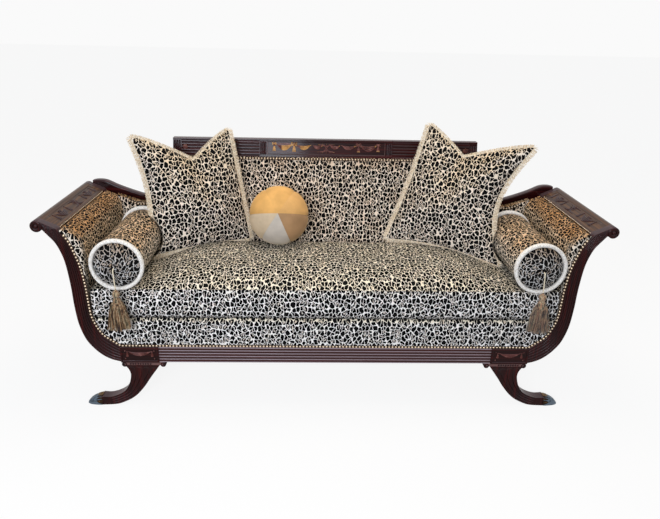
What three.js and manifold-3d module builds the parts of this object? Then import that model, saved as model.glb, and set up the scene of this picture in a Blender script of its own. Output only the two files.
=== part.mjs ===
// A recamier: a long sofa with scrolled arms, a carved and reeded mahogany show frame, sabre legs
// with metal toe caps, a tight upholstered back and arms, one loose bench cushion, two bolsters
// with tassels, two square pillows and a ball pillow.
import * as THREE from 'three';
import { mergeVertices } from 'three/addons/utils/BufferGeometryUtils.js';
import Module from 'manifold-3d';

const wasm = await Module();
wasm.setup();

// Driving dimensions in millimetres: X runs along the sofa, Y from front to back and Z up.
// While the pieces are made, Y is zero on the front of the arms and Z on the floor.
const gap = 0.3; // left between pieces that touch
const overlap = 1; // how far two shapes run into each other where they are joined

// Seat frame
const frameBottom = 196;
const railHeight = 66;
const railThickness = 30;
const railReedDepth = 3;
const railReeds = 5;
const armDepth = 620;
const blockInner = 655;
const blockWidth = 148;
const blockDepth = 75;
const blockProud = 5; // how far a leg block stands out past the rail
const panelBorder = 9;
const panelDepth = 3;
const sideRailWidth = 40;
const stretcherWidth = 44;
const stretcherHeight = 50;

// Arms
const armReach = 277; // from the outer side of a leg block to the tip of the scroll
const armRise = 575; // from the underside of the rails to the top of the scroll
const facingThickness = 35;
const facingReeds = 6;
const facingReedDepth = 3;
const scrollRadius = 22;
const scrollSteps = 12;
const tabletSlope = 23.6; // degrees
const tabletThickness = 14;
const armPadSwell = 42; // how far the arm's padding stands in from its facing at the most
const sideCoverInset = 4;
const sideCoverThickness = 8;

// Back
const crestInset = 25; // from the rear of the frame to the front of the crest and shoulder rails
const crestHalf = 675;
const crestBottom = 893;
const crestHeight = 75;
const crestThickness = 34;
const crestRake = 16; // how far the crest leans back over its own height
const crestPanelHalf = 262;
const crestPanelBorder = 11;
const crestPanelDepth = 4;
const crestReeds = 5;
const crestReedDepth = 2.5;
const crestEndBlock = 37;
const crestFluteBlock = 34;
const shoulderWidth = 28;
const shoulderThickness = 35;
const shoulderDrop = 57; // from the top of the scroll to the lowest point of a shoulder
const shoulderInset = 39; // from the tip of the scroll to the end of a shoulder
const backFootDepth = 107; // thickness of the back where the cushion's underside meets it
const backTopDepth = 25; // thickness of the back at the crest
const backInset = 10; // from the rear of the frame to the padding's rear
const backCoverThickness = 4.5;

// Legs
const legThickness = 42;
const legReach = 302; // from the inner side of a leg block to the tip of the toe
const legFlutes = 4;
const legFluteDepth = 2.5;
const legPlate = 13;
const legEarRadius = 11;
const legEarOut = 24; // how far the inner ear stands past the leg block
const capStartShare = 0.8; // of the leg's reach, where the toe cap's open end is
const capLip = 1.5; // how far the toe cap stands out round the leg

// Seat
const borderRecess = 4; // the fabric lies this far behind the face of the wood
const borderThickness = 26;
const seatHeight = 384.7; // top of the sprung deck
const deckThickness = 55;
const springRadius = 45;
const springWaist = 30;
const springWire = 4;
const springTurns = 3.5;
const springTurnSteps = 6;
const springPitchX = 200;
const springPitchY = 150;
const springColumns = 6;
const springRows = 3;
const webbingWidth = 60;
const webbingThickness = 2;
const webbingMargin = 6;
const dustCoverThickness = 1.4;

// Nail trim
const nailBand = 10;
const nailHeight = 3;
const nailEdge = 0.6; // from the edge of the wood to the band

// Bench cushion
const cushionInset = 0.5; // behind the face of the seat's border
const cushionBackGap = 4;
const cushionEndGap = 3;
const cushionBorder = 121; // height of the boxing
const cushionCrown = 46;
const cushionDraw = 7; // how far the back and the ends are drawn in between their corners

// Bolsters
const bolsterRadius = 93;
const bolsterLength = 451; // between the outer faces of the two trims
const bolsterDome = 24;
const bolsterOverhang = 16; // how far the front trim stands out past the arm
const trimRadius = 101;
const trimInner = 81;
const trimWidth = 20;
const leftBolsterGap = 21; // from the arm's padding
const rightBolsterGap = 2;
const buttonRadius = 11;
const buttonHeight = 5;

// Tassels
const tasselCordRadius = 2.25;
const tasselHeadRadius = 15;
const tasselHeadHeight = 52;
const tasselSkirtRadius = 47;
const tasselSkirtHeight = 112;
const tasselSkirtFlatShare = 0.55; // how deep the skirt is for its width

// Pillows
const pillowSize = 500;
const pillowLoft = 165;
const pillowEdge = 7;
const pillowFullness = 0.6; // the power of its swell: the less, the fuller near the edges
const pillowSteps = 12;
const pillowLean = 12; // degrees
const fringeWidth = 22;
const fringeTopWidth = 12; // the fringe is pressed down along the pillow's upper edge
const fringeThickness = 6;
const fringeCornerShare = 0.8; // of its width, how far the fringe reaches past a corner at the most
const leftPillowInset = 320; // from the end of the cushion to the middle of the pillow
const leftPillowForward = 78; // from the foot of the back
const leftPillowRise = 269; // from the top of the cushion's boxing
const rightPillowInset = 323;
const rightPillowForward = 103;
const rightPillowRise = 275;
const ballWidth = 254;
const ballDepth = 222;
const ballOffset = 203; // to the left of the sofa's middle
const ballForward = 85; // from the foot of the back
const ballSink = 3; // how far the soft ball settles into the cushion
const ballGores = 6;
const goreCreaseShare = 0.02; // of the radius
const pressGap = 1.5; // left where one soft piece is pressed against another

// Materials, with the colours of the photograph
const finish = (color, roughness, metalness = 0) => ({ color, roughness, metalness });
const mahogany = finish(0x3a1410, 0.25);
const hiddenWood = finish(0xb08a5c, 0.7);
const toeMetal = finish(0x5a6470, 0.4, 1);
const brassNails = finish(0xb08d57, 0.35, 1);
const spottedFabric = finish(0xcbbf9f, 0.9);
const blackLining = finish(0x1c1b1a, 0.95);
const jute = finish(0xa88f63, 0.95);
const springSteel = finish(0x8a8d90, 0.4, 1);
const creamTrim = finish(0xe6d9b8, 0.9);
const tasselThread = finish(0x8a7258, 0.85);
const goldVelvet = finish(0xc79a55, 0.8);

const sofa = new THREE.Group();
const sides = [{ name: 'left', sign: -1 }, { name: 'right', sign: 1 }];
const railTop = frameBottom + railHeight;
const blockOuter = blockInner + blockWidth;

// Adds one named piece to a group.
function piece(parent, name, geometry, look) {
  const mesh = new THREE.Mesh(geometry, new THREE.MeshStandardMaterial(look));
  mesh.name = name;
  parent.add(mesh);
  return mesh;
}

// Six times the signed volume of a closed mesh.
function signedVolume(geometry) {
  const corner = new THREE.Vector3();
  const cross = new THREE.Vector3();
  const third = new THREE.Vector3();
  let sum = 0;
  for (let i = 0; i < geometry.index.count; i += 3) {
    corner.fromBufferAttribute(geometry.attributes.position, geometry.index.getX(i));
    cross.fromBufferAttribute(geometry.attributes.position, geometry.index.getX(i + 1));
    third.fromBufferAttribute(geometry.attributes.position, geometry.index.getX(i + 2));
    sum += corner.dot(cross.cross(third));
  }
  return sum;
}

// Merges the shared vertices of a closed shape, drops slivers of no area and turns it outwards.
function weld(geometry) {
  const bare = geometry.clone();
  bare.deleteAttribute('normal');
  bare.deleteAttribute('uv');
  const welded = mergeVertices(bare);
  const triangles = [];
  for (let i = 0; i < welded.index.count; i += 3) {
    const [a, b, c] = [0, 1, 2].map((step) => welded.index.getX(i + step));
    if (a !== b && b !== c && c !== a) triangles.push([a, b, c]);
  }
  welded.setIndex(triangles.flat());
  if (signedVolume(welded) < 0) welded.setIndex(triangles.flatMap(([a, b, c]) => [a, c, b]));
  welded.computeVertexNormals();
  return welded;
}

function solidOf(geometry) {
  const welded = weld(geometry);
  return new wasm.Manifold(new wasm.Mesh({
    numProp: 3,
    vertProperties: new Float32Array(welded.attributes.position.array),
    triVerts: new Uint32Array(welded.index.array),
  }));
}

function geometryOf(solid) {
  const result = solid.getMesh();
  const geometry = new THREE.BufferGeometry();
  geometry.setAttribute('position', new THREE.BufferAttribute(result.vertProperties, result.numProp));
  geometry.setIndex(new THREE.BufferAttribute(result.triVerts, 1));
  geometry.computeVertexNormals();
  return geometry;
}

function join(...shapes) {
  const sum = shapes.map(solidOf).reduce((total, next) => total.add(next));
  return geometryOf(sum.asOriginal().simplify());
}

// Cuts the tools out of a shape. Where that leaves loose scraps, only the largest piece is kept.
function cut(shape, ...tools) {
  const left = tools.map(solidOf).reduce((rest, tool) => rest.subtract(tool), solidOf(shape));
  const [largest] = left.decompose().sort((a, b) => b.volume() - a.volume());
  return geometryOf(largest);
}

// A shape made for the right side of the sofa, on the side that the sign names.
function onSide(geometry, sign) {
  return sign > 0 ? geometry : weld(geometry.clone().scale(-1, 1, 1));
}

function box(left, right, front, back, bottom, top) {
  const shape = new THREE.BoxGeometry(right - left, back - front, top - bottom);
  shape.translate((left + right) / 2, (front + back) / 2, (bottom + top) / 2);
  return shape;
}

// Extrudes an outline that is drawn as seen from the front, in X and Z, from front to back.
function frontOutline(points, front, back) {
  const settings = { depth: back - front, bevelEnabled: false };
  const shape = new THREE.ExtrudeGeometry(new THREE.Shape(points), settings);
  shape.rotateX(Math.PI / 2);
  return shape.translate(0, back, 0);
}

// Extrudes an outline that is drawn as seen from the end, in Y and Z, from left to right.
function endOutline(points, left, right) {
  const settings = { depth: right - left, bevelEnabled: false };
  const shape = new THREE.ExtrudeGeometry(new THREE.Shape(points), settings);
  const [x, y, z] = [new THREE.Vector3(1, 0, 0), new THREE.Vector3(0, 1, 0), new THREE.Vector3(0, 0, 1)];
  shape.applyMatrix4(new THREE.Matrix4().makeBasis(y, z, x));
  return shape.translate(left, 0, 0);
}

// Moves every vertex of a shape by a rule.
function reshape(geometry, rule) {
  const points = geometry.attributes.position;
  const point = new THREE.Vector3();
  for (let i = 0; i < points.count; i += 1) {
    point.fromBufferAttribute(points, i);
    rule(point);
    points.setXYZ(i, point.x, point.y, point.z);
  }
  return geometry;
}

// Skins a row of rings that all have as many points. An open row gets a fan on each end.
function loft(rings, closed = false) {
  const count = rings[0].length;
  const vertices = rings.flat();
  const triangles = [];
  const spans = closed ? rings.length : rings.length - 1;
  for (let i = 0; i < spans; i += 1) {
    const here = i * count;
    const there = ((i + 1) % rings.length) * count;
    for (let j = 0; j < count; j += 1) {
      const k = (j + 1) % count;
      triangles.push(here + j, here + k, there + k, here + j, there + k, there + j);
    }
  }
  if (!closed) {
    for (const [ring, start, turn] of [[rings[0], 0, 1], [rings.at(-1), (rings.length - 1) * count, 0]]) {
      const middle = new THREE.Vector3();
      ring.forEach((point) => middle.addScaledVector(point, 1 / count));
      vertices.push(middle);
      for (let j = 0; j < count; j += 1) {
        const pair = [start + j, start + ((j + 1) % count)];
        triangles.push(vertices.length - 1, pair[turn], pair[1 - turn]);
      }
    }
  }
  const geometry = new THREE.BufferGeometry().setFromPoints(vertices);
  geometry.setIndex(triangles);
  return weld(geometry);
}

// Samples a smooth line through points at even steps of its length.
function sampled(points, steps) {
  return new THREE.SplineCurve(points).getSpacedPoints(steps);
}

// The first part of a sampled line, up to a share of its length.
function firstPart(line, share) {
  return line.slice(0, Math.round(share * (line.length - 1)) + 1);
}

// Moves a line of points sideways, to the left as one walks along it. The distance may be a rule.
function offsetLine(points, distance) {
  return points.map((point, i) => {
    const before = points[Math.max(i - 1, 0)];
    const after = points[Math.min(i + 1, points.length - 1)];
    const along = after.clone().sub(before).normalize();
    const shift = typeof distance === 'number' ? distance : distance(i / (points.length - 1));
    return new THREE.Vector2(point.x - along.y * shift, point.y + along.x * shift);
  });
}

// The band between two offsets of a line.
function band(points, near, far) {
  return [...offsetLine(points, near), ...offsetLine(points, far).reverse()];
}

// Reads a hand-drawn table of pairs at a place between its rows.
function readTable(table, place) {
  const upper = Math.max(table.findIndex(([at]) => at >= place), 1);
  const [[from, low], [to, high]] = [table[upper - 1], table[upper]];
  return THREE.MathUtils.mapLinear(place, from, to, low, high);
}

// The arm seen from the front, on the right. Each outline is in shares of the arm's reach and rise,
// and the padding's swell goes by the share of the inner outline's length.
const armOuterShares = [
  [0, 0], [0.13, 0.018], [0.25, 0.051], [0.365, 0.105], [0.46, 0.175], [0.53, 0.285],
  [0.56, 0.42], [0.572, 0.56], [0.6, 0.7], [0.638, 0.782], [0.7, 0.853], [0.785, 0.905],
];
const armInnerShares = [
  [0, 0.115], [0.13, 0.16], [0.225, 0.197], [0.3, 0.255], [0.365, 0.34], [0.385, 0.45],
  [0.4, 0.57], [0.44, 0.7], [0.495, 0.79], [0.535, 0.845], [0.58, 0.888], [0.664, 0.948],
];
const armSwellShares = [
  [0, 0.2], [0.53, 0.2], [0.63, 0.35], [0.7, 0.5], [0.8, 0.84], [0.87, 1], [0.92, 0.85], [1, 0.1],
];
const armSteps = 24;
const armPlace = ([x, z]) => new THREE.Vector2(blockOuter + x * armReach, frameBottom + z * armRise);
const scrollCentre = new THREE.Vector2(
  blockOuter + armReach - scrollRadius,
  frameBottom + armRise - scrollRadius,
);

function scrollPoint(degrees) {
  const angle = THREE.MathUtils.degToRad(degrees);
  return new THREE.Vector2(Math.cos(angle), Math.sin(angle)).multiplyScalar(scrollRadius).add(scrollCentre);
}

const scrollStart = 90 + tabletSlope; // degrees, where the tablet runs into the scroll
const scrollEnd = -150; // degrees, where the scroll curls in over the arm
const armOuter = sampled([...armOuterShares.map(armPlace), scrollPoint(scrollEnd)], armSteps);
const armInner = sampled(armInnerShares.map(armPlace), armSteps);
armOuter[0].x += gap;
armInner[0].x += gap;
const armHead = armInner.at(-1);
const armPad = offsetLine(armInner, (place) => armPadSwell * readTable(armSwellShares, place));

// Where a rising line passes a height.
function pointAt(line, height) {
  const above = Math.max(line.findIndex((point) => point.y >= height), 1);
  const [low, high] = [line[above - 1], line[above]];
  return new THREE.Vector2(THREE.MathUtils.mapLinear(height, low.y, high.y, low.x, high.x), height);
}

// The narrowest clear half width between the arms' padding, at a height and above it.
function clearHalf(height) {
  const above = armPad.filter((point) => point.y >= height);
  return Math.min(...[pointAt(armPad, height), ...above].map((point) => point.x));
}

// The scroll and the rounded end of the tablet, from the tablet's inner edge to under the arm.
function scrollHead() {
  const arc = Array.from({ length: scrollSteps + 1 }, (_, i) => (
    scrollPoint(THREE.MathUtils.lerp(scrollStart, scrollEnd, i / scrollSteps))
  ));
  return [armHead.clone(), ...arc];
}

// A strip whose front carries rounded reeds or flutes that follow its two edges.
function reededStrip(outer, inner, count, depth, front, back) {
  const rings = outer.map((edge, i) => {
    const ring = [];
    for (let k = 0; k <= 2 * count; k += 1) {
      const place = edge.clone().lerp(inner[i], k / (2 * count));
      ring.push(new THREE.Vector3(place.x, k % 2 ? front : front + depth, place.y));
    }
    ring.push(new THREE.Vector3(inner[i].x, back, inner[i].y));
    ring.push(new THREE.Vector3(edge.x, back, edge.y));
    return ring;
  });
  return loft(rings);
}

// Front facing of an arm: reeds that run from the leg block up into the scroll.
function armFacing() {
  const reeded = reededStrip(armOuter, armInner, facingReeds, facingReedDepth, 0, facingThickness);
  const head = scrollHead();
  const root = [armOuter.at(-1), armHead].map((point) => point.clone().setY(point.y - overlap));
  return join(reeded, frontOutline([...head, ...root], 0, facingThickness));
}

const crestFront = armDepth - crestInset;
const postFront = crestFront - facingThickness;

function armPostRear() {
  const outline = [...armOuter, ...scrollHead().reverse(), ...armInner.slice(0, -1).reverse()];
  return frontOutline(outline, postFront, crestFront);
}

// The tablet's cross-section follows the scroll and has the tablet's own thickness inwards of it.
const tabletAngle = THREE.MathUtils.degToRad(tabletSlope);
const tabletDown = new THREE.Vector2(Math.sin(tabletAngle), -Math.cos(tabletAngle));
const tabletAlong = new THREE.Vector2(Math.cos(tabletAngle), Math.sin(tabletAngle));
const tabletHeel = armHead.clone().addScaledVector(tabletDown, tabletThickness);

function armTablet() {
  const head = scrollHead();
  const reach = head.at(-1).x - tabletHeel.x;
  const under = tabletHeel.clone().addScaledVector(tabletAlong, reach / tabletAlong.x);
  return frontOutline([...head, under, tabletHeel], facingThickness + gap, postFront - gap);
}

const armPadShare = 0.975; // how far up its line the padding goes
const armCoverShare = 0.965; // how far up its line the outside cover goes
const besideBlock = (point) => new THREE.Vector2(Math.max(point.x, blockOuter + gap), point.y);

// The padded arm runs behind the facing, and its front edge fills the facing's hollow side.
function insideArm() {
  const under = offsetLine(armOuter, sideCoverInset + sideCoverThickness + gap);
  const outer = firstPart(under, armCoverShare).map(besideBlock);
  const inner = firstPart(armPad, armPadShare);
  inner[0] = new THREE.Vector2(blockOuter + gap, inner[0].y);
  const heel = tabletHeel.clone().addScaledVector(tabletDown, overlap);
  heel.addScaledVector(tabletAlong, -overlap);
  const body = frontOutline([...inner, heel, ...outer.reverse()], facingThickness + gap, postFront - gap);
  const above = (line) => firstPart(line, armPadShare).filter((point) => point.y > seatHeight + gap);
  const outline = [...above(offsetLine(armInner, gap)), ...above(armPad).reverse()];
  return join(body, frontOutline(outline, borderRecess, facingThickness + gap + overlap));
}

function outsideArm() {
  const line = firstPart(armOuter, armCoverShare);
  const outline = band(line, sideCoverInset, sideCoverInset + sideCoverThickness).map(besideBlock);
  return frontOutline(outline, facingThickness + gap, postFront - gap);
}

// Nail band along the tablet's inner edge.
function tabletNails() {
  const side = tabletAlong.clone().negate();
  const corner = (down, out) => armHead.clone().addScaledVector(tabletDown, down).addScaledVector(side, out);
  const outline = [
    corner(nailEdge, gap), corner(nailEdge, gap + nailHeight),
    corner(nailEdge + nailBand, gap + nailHeight), corner(nailEdge + nailBand, gap),
  ];
  return frontOutline(outline, facingThickness + gap, postFront - gap);
}

// A rail profile in Y and Z with reeds on its front.
function reededProfile(front, back, bottom, height, count, depth, lean = 0) {
  const points = [];
  for (let k = 0; k <= 2 * count; k += 1) {
    const share = k / (2 * count);
    points.push(new THREE.Vector2(front + lean * share + (k % 2 ? 0 : depth), bottom + height * share));
  }
  points.push(new THREE.Vector2(back + lean, bottom + height));
  points.push(new THREE.Vector2(back, bottom));
  return points;
}

function seatFrame() {
  const railEnd = blockInner - gap;
  const profile = reededProfile(0, railThickness, frameBottom, railHeight, railReeds, railReedDepth);
  piece(sofa, 'front_rail', weld(endOutline(profile, -railEnd, railEnd)), mahogany);
  const rear = box(-railEnd, railEnd, armDepth - railThickness, armDepth, frameBottom, railTop);
  piece(sofa, 'back_rail', weld(rear), mahogany);
  const blockBack = blockDepth - blockProud;
  const between = [blockBack + gap, armDepth - blockBack - gap];
  const railLeft = blockOuter - sideRailWidth;
  for (const side of sides) {
    const rail = box(railLeft, blockOuter, ...between, frameBottom, railTop);
    piece(sofa, `side_rail_${side.name}`, onSide(weld(rail), side.sign), hiddenWood);
  }
  const half = stretcherWidth / 2;
  const inner = [railThickness + gap, armDepth - railThickness - gap];
  const stretcher = box(-half, half, ...inner, frameBottom, frameBottom + stretcherHeight);
  piece(sofa, 'center_stretcher', weld(stretcher), hiddenWood);
}

// A leg block with a recessed panel on its front.
function legBlock() {
  const front = -blockProud;
  const block = box(blockInner, blockOuter, front, front + blockDepth, frameBottom, railTop);
  const recess = box(
    blockInner + panelBorder, blockOuter - panelBorder,
    front - overlap, front + panelDepth,
    frameBottom + panelBorder, railTop - panelBorder,
  );
  return cut(block, recess);
}

// A sabre leg seen from the front, in shares of its reach and height.
const legOuterShares = [
  [0.45, 0.93], [0.405, 0.83], [0.386, 0.72], [0.4, 0.58], [0.438, 0.43], [0.5, 0.31],
  [0.6, 0.225], [0.7, 0.185], [capStartShare, 0.193],
];
const legInnerShares = [
  [0, 0.93], [0.06, 0.8], [0.136, 0.633], [0.205, 0.469], [0.291, 0.301], [0.371, 0.186],
  [0.47, 0.095], [0.6, 0.02], [capStartShare, 0],
];
const legSteps = 14;
const legTop = frameBottom - gap;
const toeHeight = frameBottom * legOuterShares.at(-1)[1];
const legPlace = ([x, z]) => new THREE.Vector2(blockInner + x * legReach, z * frameBottom);

function ear(x) {
  const shape = new THREE.CylinderGeometry(legEarRadius, legEarRadius, legThickness, 12);
  return shape.translate(x, legThickness / 2, legTop - legEarRadius);
}

function sabreLeg() {
  const outer = sampled(legOuterShares.map(legPlace), legSteps);
  const inner = sampled(legInnerShares.map(legPlace), legSteps);
  [outer, inner].forEach((line) => { line.at(-1).x -= gap; });
  inner.forEach((point) => { point.y = Math.max(point.y, 0); });
  const shank = reededStrip(outer, inner, legFlutes, legFluteDepth, 0, legThickness);
  const innerEar = blockInner - legEarOut + legEarRadius;
  const outerEar = blockOuter - legEarRadius;
  const plate = box(innerEar, outerEar, 0, legThickness, legTop - legPlate, legTop);
  return join(plate, shank, ear(innerEar), ear(outerEar));
}

// A toe cap: rounded sections from its open end to the tip, flat underneath. Each row is a share of
// its length, then of its width and height.
const capShares = [[0, 1, 1], [0.3, 0.97, 0.92], [0.6, 0.86, 0.72], [0.85, 0.62, 0.42], [1, 0.3, 0.12]];
const capSectionShares = [[-1, 0], [-1, 0.7], [-0.7, 1], [0.7, 1], [1, 0.7], [1, 0]];

function toeCap() {
  const tip = blockInner + legReach;
  const length = legReach * (1 - capStartShare);
  const middle = legThickness / 2;
  return loft(capShares.map(([along, wide, high]) => capSectionShares.map(([side, up]) => new THREE.Vector3(
    tip - length * (1 - along),
    middle + side * wide * (middle + capLip),
    up * high * (toeHeight + capLip),
  ))));
}

function legs() {
  for (const [place, atBack] of [['front', false], ['rear', true]]) {
    const turn = (shape) => (atBack ? weld(shape.scale(1, -1, 1).translate(0, armDepth, 0)) : shape);
    for (const side of sides) {
      const name = `${place}_${side.name}`;
      piece(sofa, `leg_block_${name}`, onSide(turn(legBlock()), side.sign), mahogany);
      piece(sofa, `leg_${name}`, onSide(turn(sabreLeg()), side.sign), mahogany);
      piece(sofa, `toe_cap_${name}`, onSide(turn(toeCap()), side.sign), toeMetal);
    }
  }
}

function arms() {
  for (const side of sides) {
    const add = (name, shape, look) => {
      piece(sofa, `${name}_${side.name}`, onSide(weld(shape), side.sign), look);
    };
    add('arm_facing', armFacing(), mahogany);
    add('arm_post_rear', armPostRear(), mahogany);
    add('arm_tablet', armTablet(), mahogany);
    add('inside_arm', insideArm(), spottedFabric);
    add('outside_arm', outsideArm(), spottedFabric);
    add('tablet_nails', tabletNails(), brassNails);
  }
}

// The shoulder rail sweeps from under the end of the crest down and out to the rear scroll. Its top
// edge is in shares of its reach and of its drop.
const shoulderShares = [
  [0, 1], [0.011, 0.844], [0.049, 0.592], [0.123, 0.285], [0.232, 0.078], [0.383, 0],
  [0.484, 0.05], [0.596, 0.128], [0.716, 0.223], [0.836, 0.335], [0.934, 0.358], [1, 0.335],
];
const shoulderSteps = 20;
const crestSeat = crestBottom - gap;
const shoulderEnd = blockOuter + armReach - shoulderInset;
const shoulderLow = frameBottom + armRise - shoulderDrop;
const shoulderLine = sampled(shoulderShares.map(([x, z]) => new THREE.Vector2(
  THREE.MathUtils.lerp(crestHalf, shoulderEnd, x),
  THREE.MathUtils.lerp(shoulderLow, crestSeat, z),
)), shoulderSteps);
const shoulderUnder = offsetLine(shoulderLine, -shoulderWidth - gap);

function shoulderRail() {
  const outline = band(shoulderLine, 0, -shoulderWidth);
  outline.forEach((point) => { point.y = Math.min(point.y, crestSeat); });
  outline.at(-1).y = crestSeat;
  return frontOutline(outline, crestFront + gap, crestFront + gap + shoulderThickness);
}

// The crest rail leans back. Reeded flanks lie between plain end blocks and a long middle block, whose
// recessed panel has a plain square at each end.
function crestRail() {
  const back = crestFront + crestThickness;
  const profile = (count, depth) => (
    reededProfile(crestFront, back, crestBottom, crestHeight, count, depth, crestRake)
  );
  const plain = profile(1, 0);
  const reeded = profile(crestReeds, crestReedDepth);
  const fluteEnd = crestPanelHalf + crestFluteBlock;
  const flankEnd = crestHalf - crestEndBlock;
  const parts = [
    endOutline(plain, -crestHalf, -flankEnd),
    endOutline(reeded, -flankEnd - overlap, -fluteEnd + overlap),
    endOutline(plain, -fluteEnd, fluteEnd),
    endOutline(reeded, fluteEnd - overlap, flankEnd + overlap),
    endOutline(plain, flankEnd, crestHalf),
  ];
  const panel = [
    [-overlap, crestPanelBorder], [crestPanelDepth, crestPanelBorder],
    [crestPanelDepth, crestHeight - crestPanelBorder], [-overlap, crestHeight - crestPanelBorder],
  ].map(([y, z]) => new THREE.Vector2(crestFront + y + (crestRake * z) / crestHeight, crestBottom + z));
  return cut(join(...parts), endOutline(panel, -crestPanelHalf, crestPanelHalf));
}

const backRear = armDepth - backInset;
const backFoot = backRear - backFootDepth;

// Front of the padded back at a height: it leans back from the seat to the crest.
function backFace(height) {
  return THREE.MathUtils.mapLinear(height, seatHeight, crestBottom, backFoot, backRear - backTopDepth);
}

const cushionHalf = clearHalf(seatHeight) - cushionEndGap;
const crestCorner = new THREE.Vector2(crestHalf - shoulderWidth - gap, crestSeat);

// Half of the back's outline, from the foot up the arm's padding and over the shoulder.
function backOutline() {
  const foot = railTop + gap;
  const low = armPad.filter((point) => point.y > foot && point.y < seatHeight).map((point) => (
    new THREE.Vector2(Math.min(point.x - gap, cushionHalf), point.y)
  ));
  const over = shoulderUnder.filter((point) => point.x < cushionHalf && point.y < crestSeat).reverse();
  const toe = new THREE.Vector2(pointAt(armPad, foot).x - gap, foot);
  return [toe, ...low, new THREE.Vector2(cushionHalf, over[0].y), ...over, crestCorner];
}

// Half an outline or line followed back along its mirror image on the left of the sofa.
function mirrored(half) {
  return half.map((point) => new THREE.Vector2(-point.x, point.y)).reverse();
}

function whole(half) {
  return [...half, ...mirrored(half)];
}

function insideBack() {
  const shape = frontOutline(whole(backOutline()), 0, 1);
  return weld(reshape(shape, (point) => {
    point.y = THREE.MathUtils.lerp(backFace(point.z), backRear, point.y);
  }));
}

// Nail band along the lower edges of the crest and the shoulders, on the leaning face of the back.
function backNails() {
  const reach = cushionHalf - nailBand;
  const half = [crestCorner, ...shoulderUnder.filter((point) => point.x < reach && point.y < crestSeat)];
  const outline = band([...mirrored(half), ...half], -nailEdge, -nailEdge - nailBand);
  const shape = frontOutline(outline, -nailHeight, 0);
  return weld(reshape(shape, (point) => { point.y += backFace(point.z) - gap; }));
}

function back() {
  piece(sofa, 'crest_rail', crestRail(), mahogany);
  for (const side of sides) {
    piece(sofa, `shoulder_rail_${side.name}`, onSide(weld(shoulderRail()), side.sign), mahogany);
  }
  piece(sofa, 'inside_back', insideBack(), spottedFabric);
  const rear = backRear + gap;
  const cover = frontOutline(whole(backOutline()), rear, rear + backCoverThickness);
  piece(sofa, 'outside_back', weld(cover), spottedFabric);
  piece(sofa, 'back_nails', backNails(), brassNails);
}

// The seat's outline between two heights, a distance inside the arm's edge or its padding.
function seatOutline(edge, bottom, top, clearance) {
  const line = offsetLine(edge, clearance);
  const between = line.filter((point) => point.y > bottom && point.y < top);
  const first = bottom > line[0].y ? pointAt(line, bottom) : new THREE.Vector2(line[0].x, bottom);
  return whole([first, ...between, pointAt(line, top)]);
}

// Where the rows and columns of springs stand.
const deckBottom = seatHeight - deckThickness;
const springMiddle = (backFace(deckBottom) + railThickness) / 2;
const spread = (count, pitch, middle) => (
  Array.from({ length: count }, (_, i) => middle + (i - (count - 1) / 2) * pitch)
);
const springPlacesX = spread(springColumns, springPitchX, 0);
const springPlacesY = spread(springRows, springPitchY, springMiddle);

// Webbing bands cross under the springs, along the sofa and from front to back.
function webbing() {
  const end = blockInner - webbingMargin;
  const half = webbingWidth / 2;
  const levels = [frameBottom - gap - webbingThickness, frameBottom - gap];
  return join(
    ...springPlacesX.map((x) => box(x - half, x + half, webbingMargin, armDepth - webbingMargin, ...levels)),
    ...springPlacesY.map((y) => box(-end, end, y - half, y + half, ...levels)),
  );
}

// A waisted coil spring that stands on its own foot.
function coil(height) {
  const steps = Math.round(springTurns * springTurnSteps);
  const half = springWire / 2;
  const rings = Array.from({ length: steps + 1 }, (_, i) => {
    const share = i / steps;
    const angle = 2 * Math.PI * springTurns * share;
    const radius = springWaist + (springRadius - springWaist) * (2 * share - 1) ** 2;
    const middle = THREE.MathUtils.lerp(half, height - half, share);
    return [[-half, -half], [half, -half], [half, half], [-half, half]].map(([out, up]) => (
      new THREE.Vector3((radius + out) * Math.cos(angle), (radius + out) * Math.sin(angle), middle + up)
    ));
  });
  return loft(rings);
}

// The spring unit: rows of coils whose tops are tied together by crossing wires.
function springs() {
  const top = deckBottom - gap;
  const half = springWire / 2;
  const levels = [top - springWire, top];
  const [left, right] = [springPlacesX[0] - springRadius, springPlacesX.at(-1) + springRadius];
  const [front, rear] = [springPlacesY[0], springPlacesY.at(-1)];
  return join(
    ...springPlacesX.flatMap((x) => springPlacesY.map((y) => (
      coil(top - frameBottom).translate(x, y, frameBottom)
    ))),
    ...springPlacesX.map((x) => box(x - half, x + half, front, rear, ...levels)),
    ...springPlacesY.map((y) => box(left, right, y - half, y + half, ...levels)),
  );
}

function seat() {
  const borderOutline = seatOutline(armInner, railTop + gap, seatHeight, gap);
  const borderBack = borderRecess + borderThickness;
  piece(sofa, 'front_border', weld(frontOutline(borderOutline, borderRecess, borderBack)), spottedFabric);
  const deckOutline = seatOutline(armPad, deckBottom, seatHeight, gap);
  const deckRange = [Math.max(borderBack, facingThickness) + gap, backFace(deckBottom) - gap];
  piece(sofa, 'seat_deck', weld(frontOutline(deckOutline, ...deckRange)), blackLining);
  piece(sofa, 'seat_springs', springs(), springSteel);
  piece(sofa, 'seat_webbing', webbing(), jute);
  const coverTop = frameBottom - webbingThickness - 2 * gap;
  const coverEnd = blockInner - legEarOut - webbingMargin;
  const coverLevels = [coverTop - dustCoverThickness, coverTop];
  const cover = box(-coverEnd, coverEnd, webbingMargin, armDepth - webbingMargin, ...coverLevels);
  piece(sofa, 'dust_cover', weld(cover), blackLining);
}

// Nail band round the front of the seat and up both arms.
const frontNailShare = 0.95; // how far up the arm it goes

function frontNails() {
  const half = firstPart(armInner, frontNailShare);
  const outline = band([...mirrored(half), ...half], nailEdge, nailEdge + nailBand);
  const rear = borderRecess - gap;
  return weld(frontOutline(outline, rear - nailHeight, rear));
}

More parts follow.
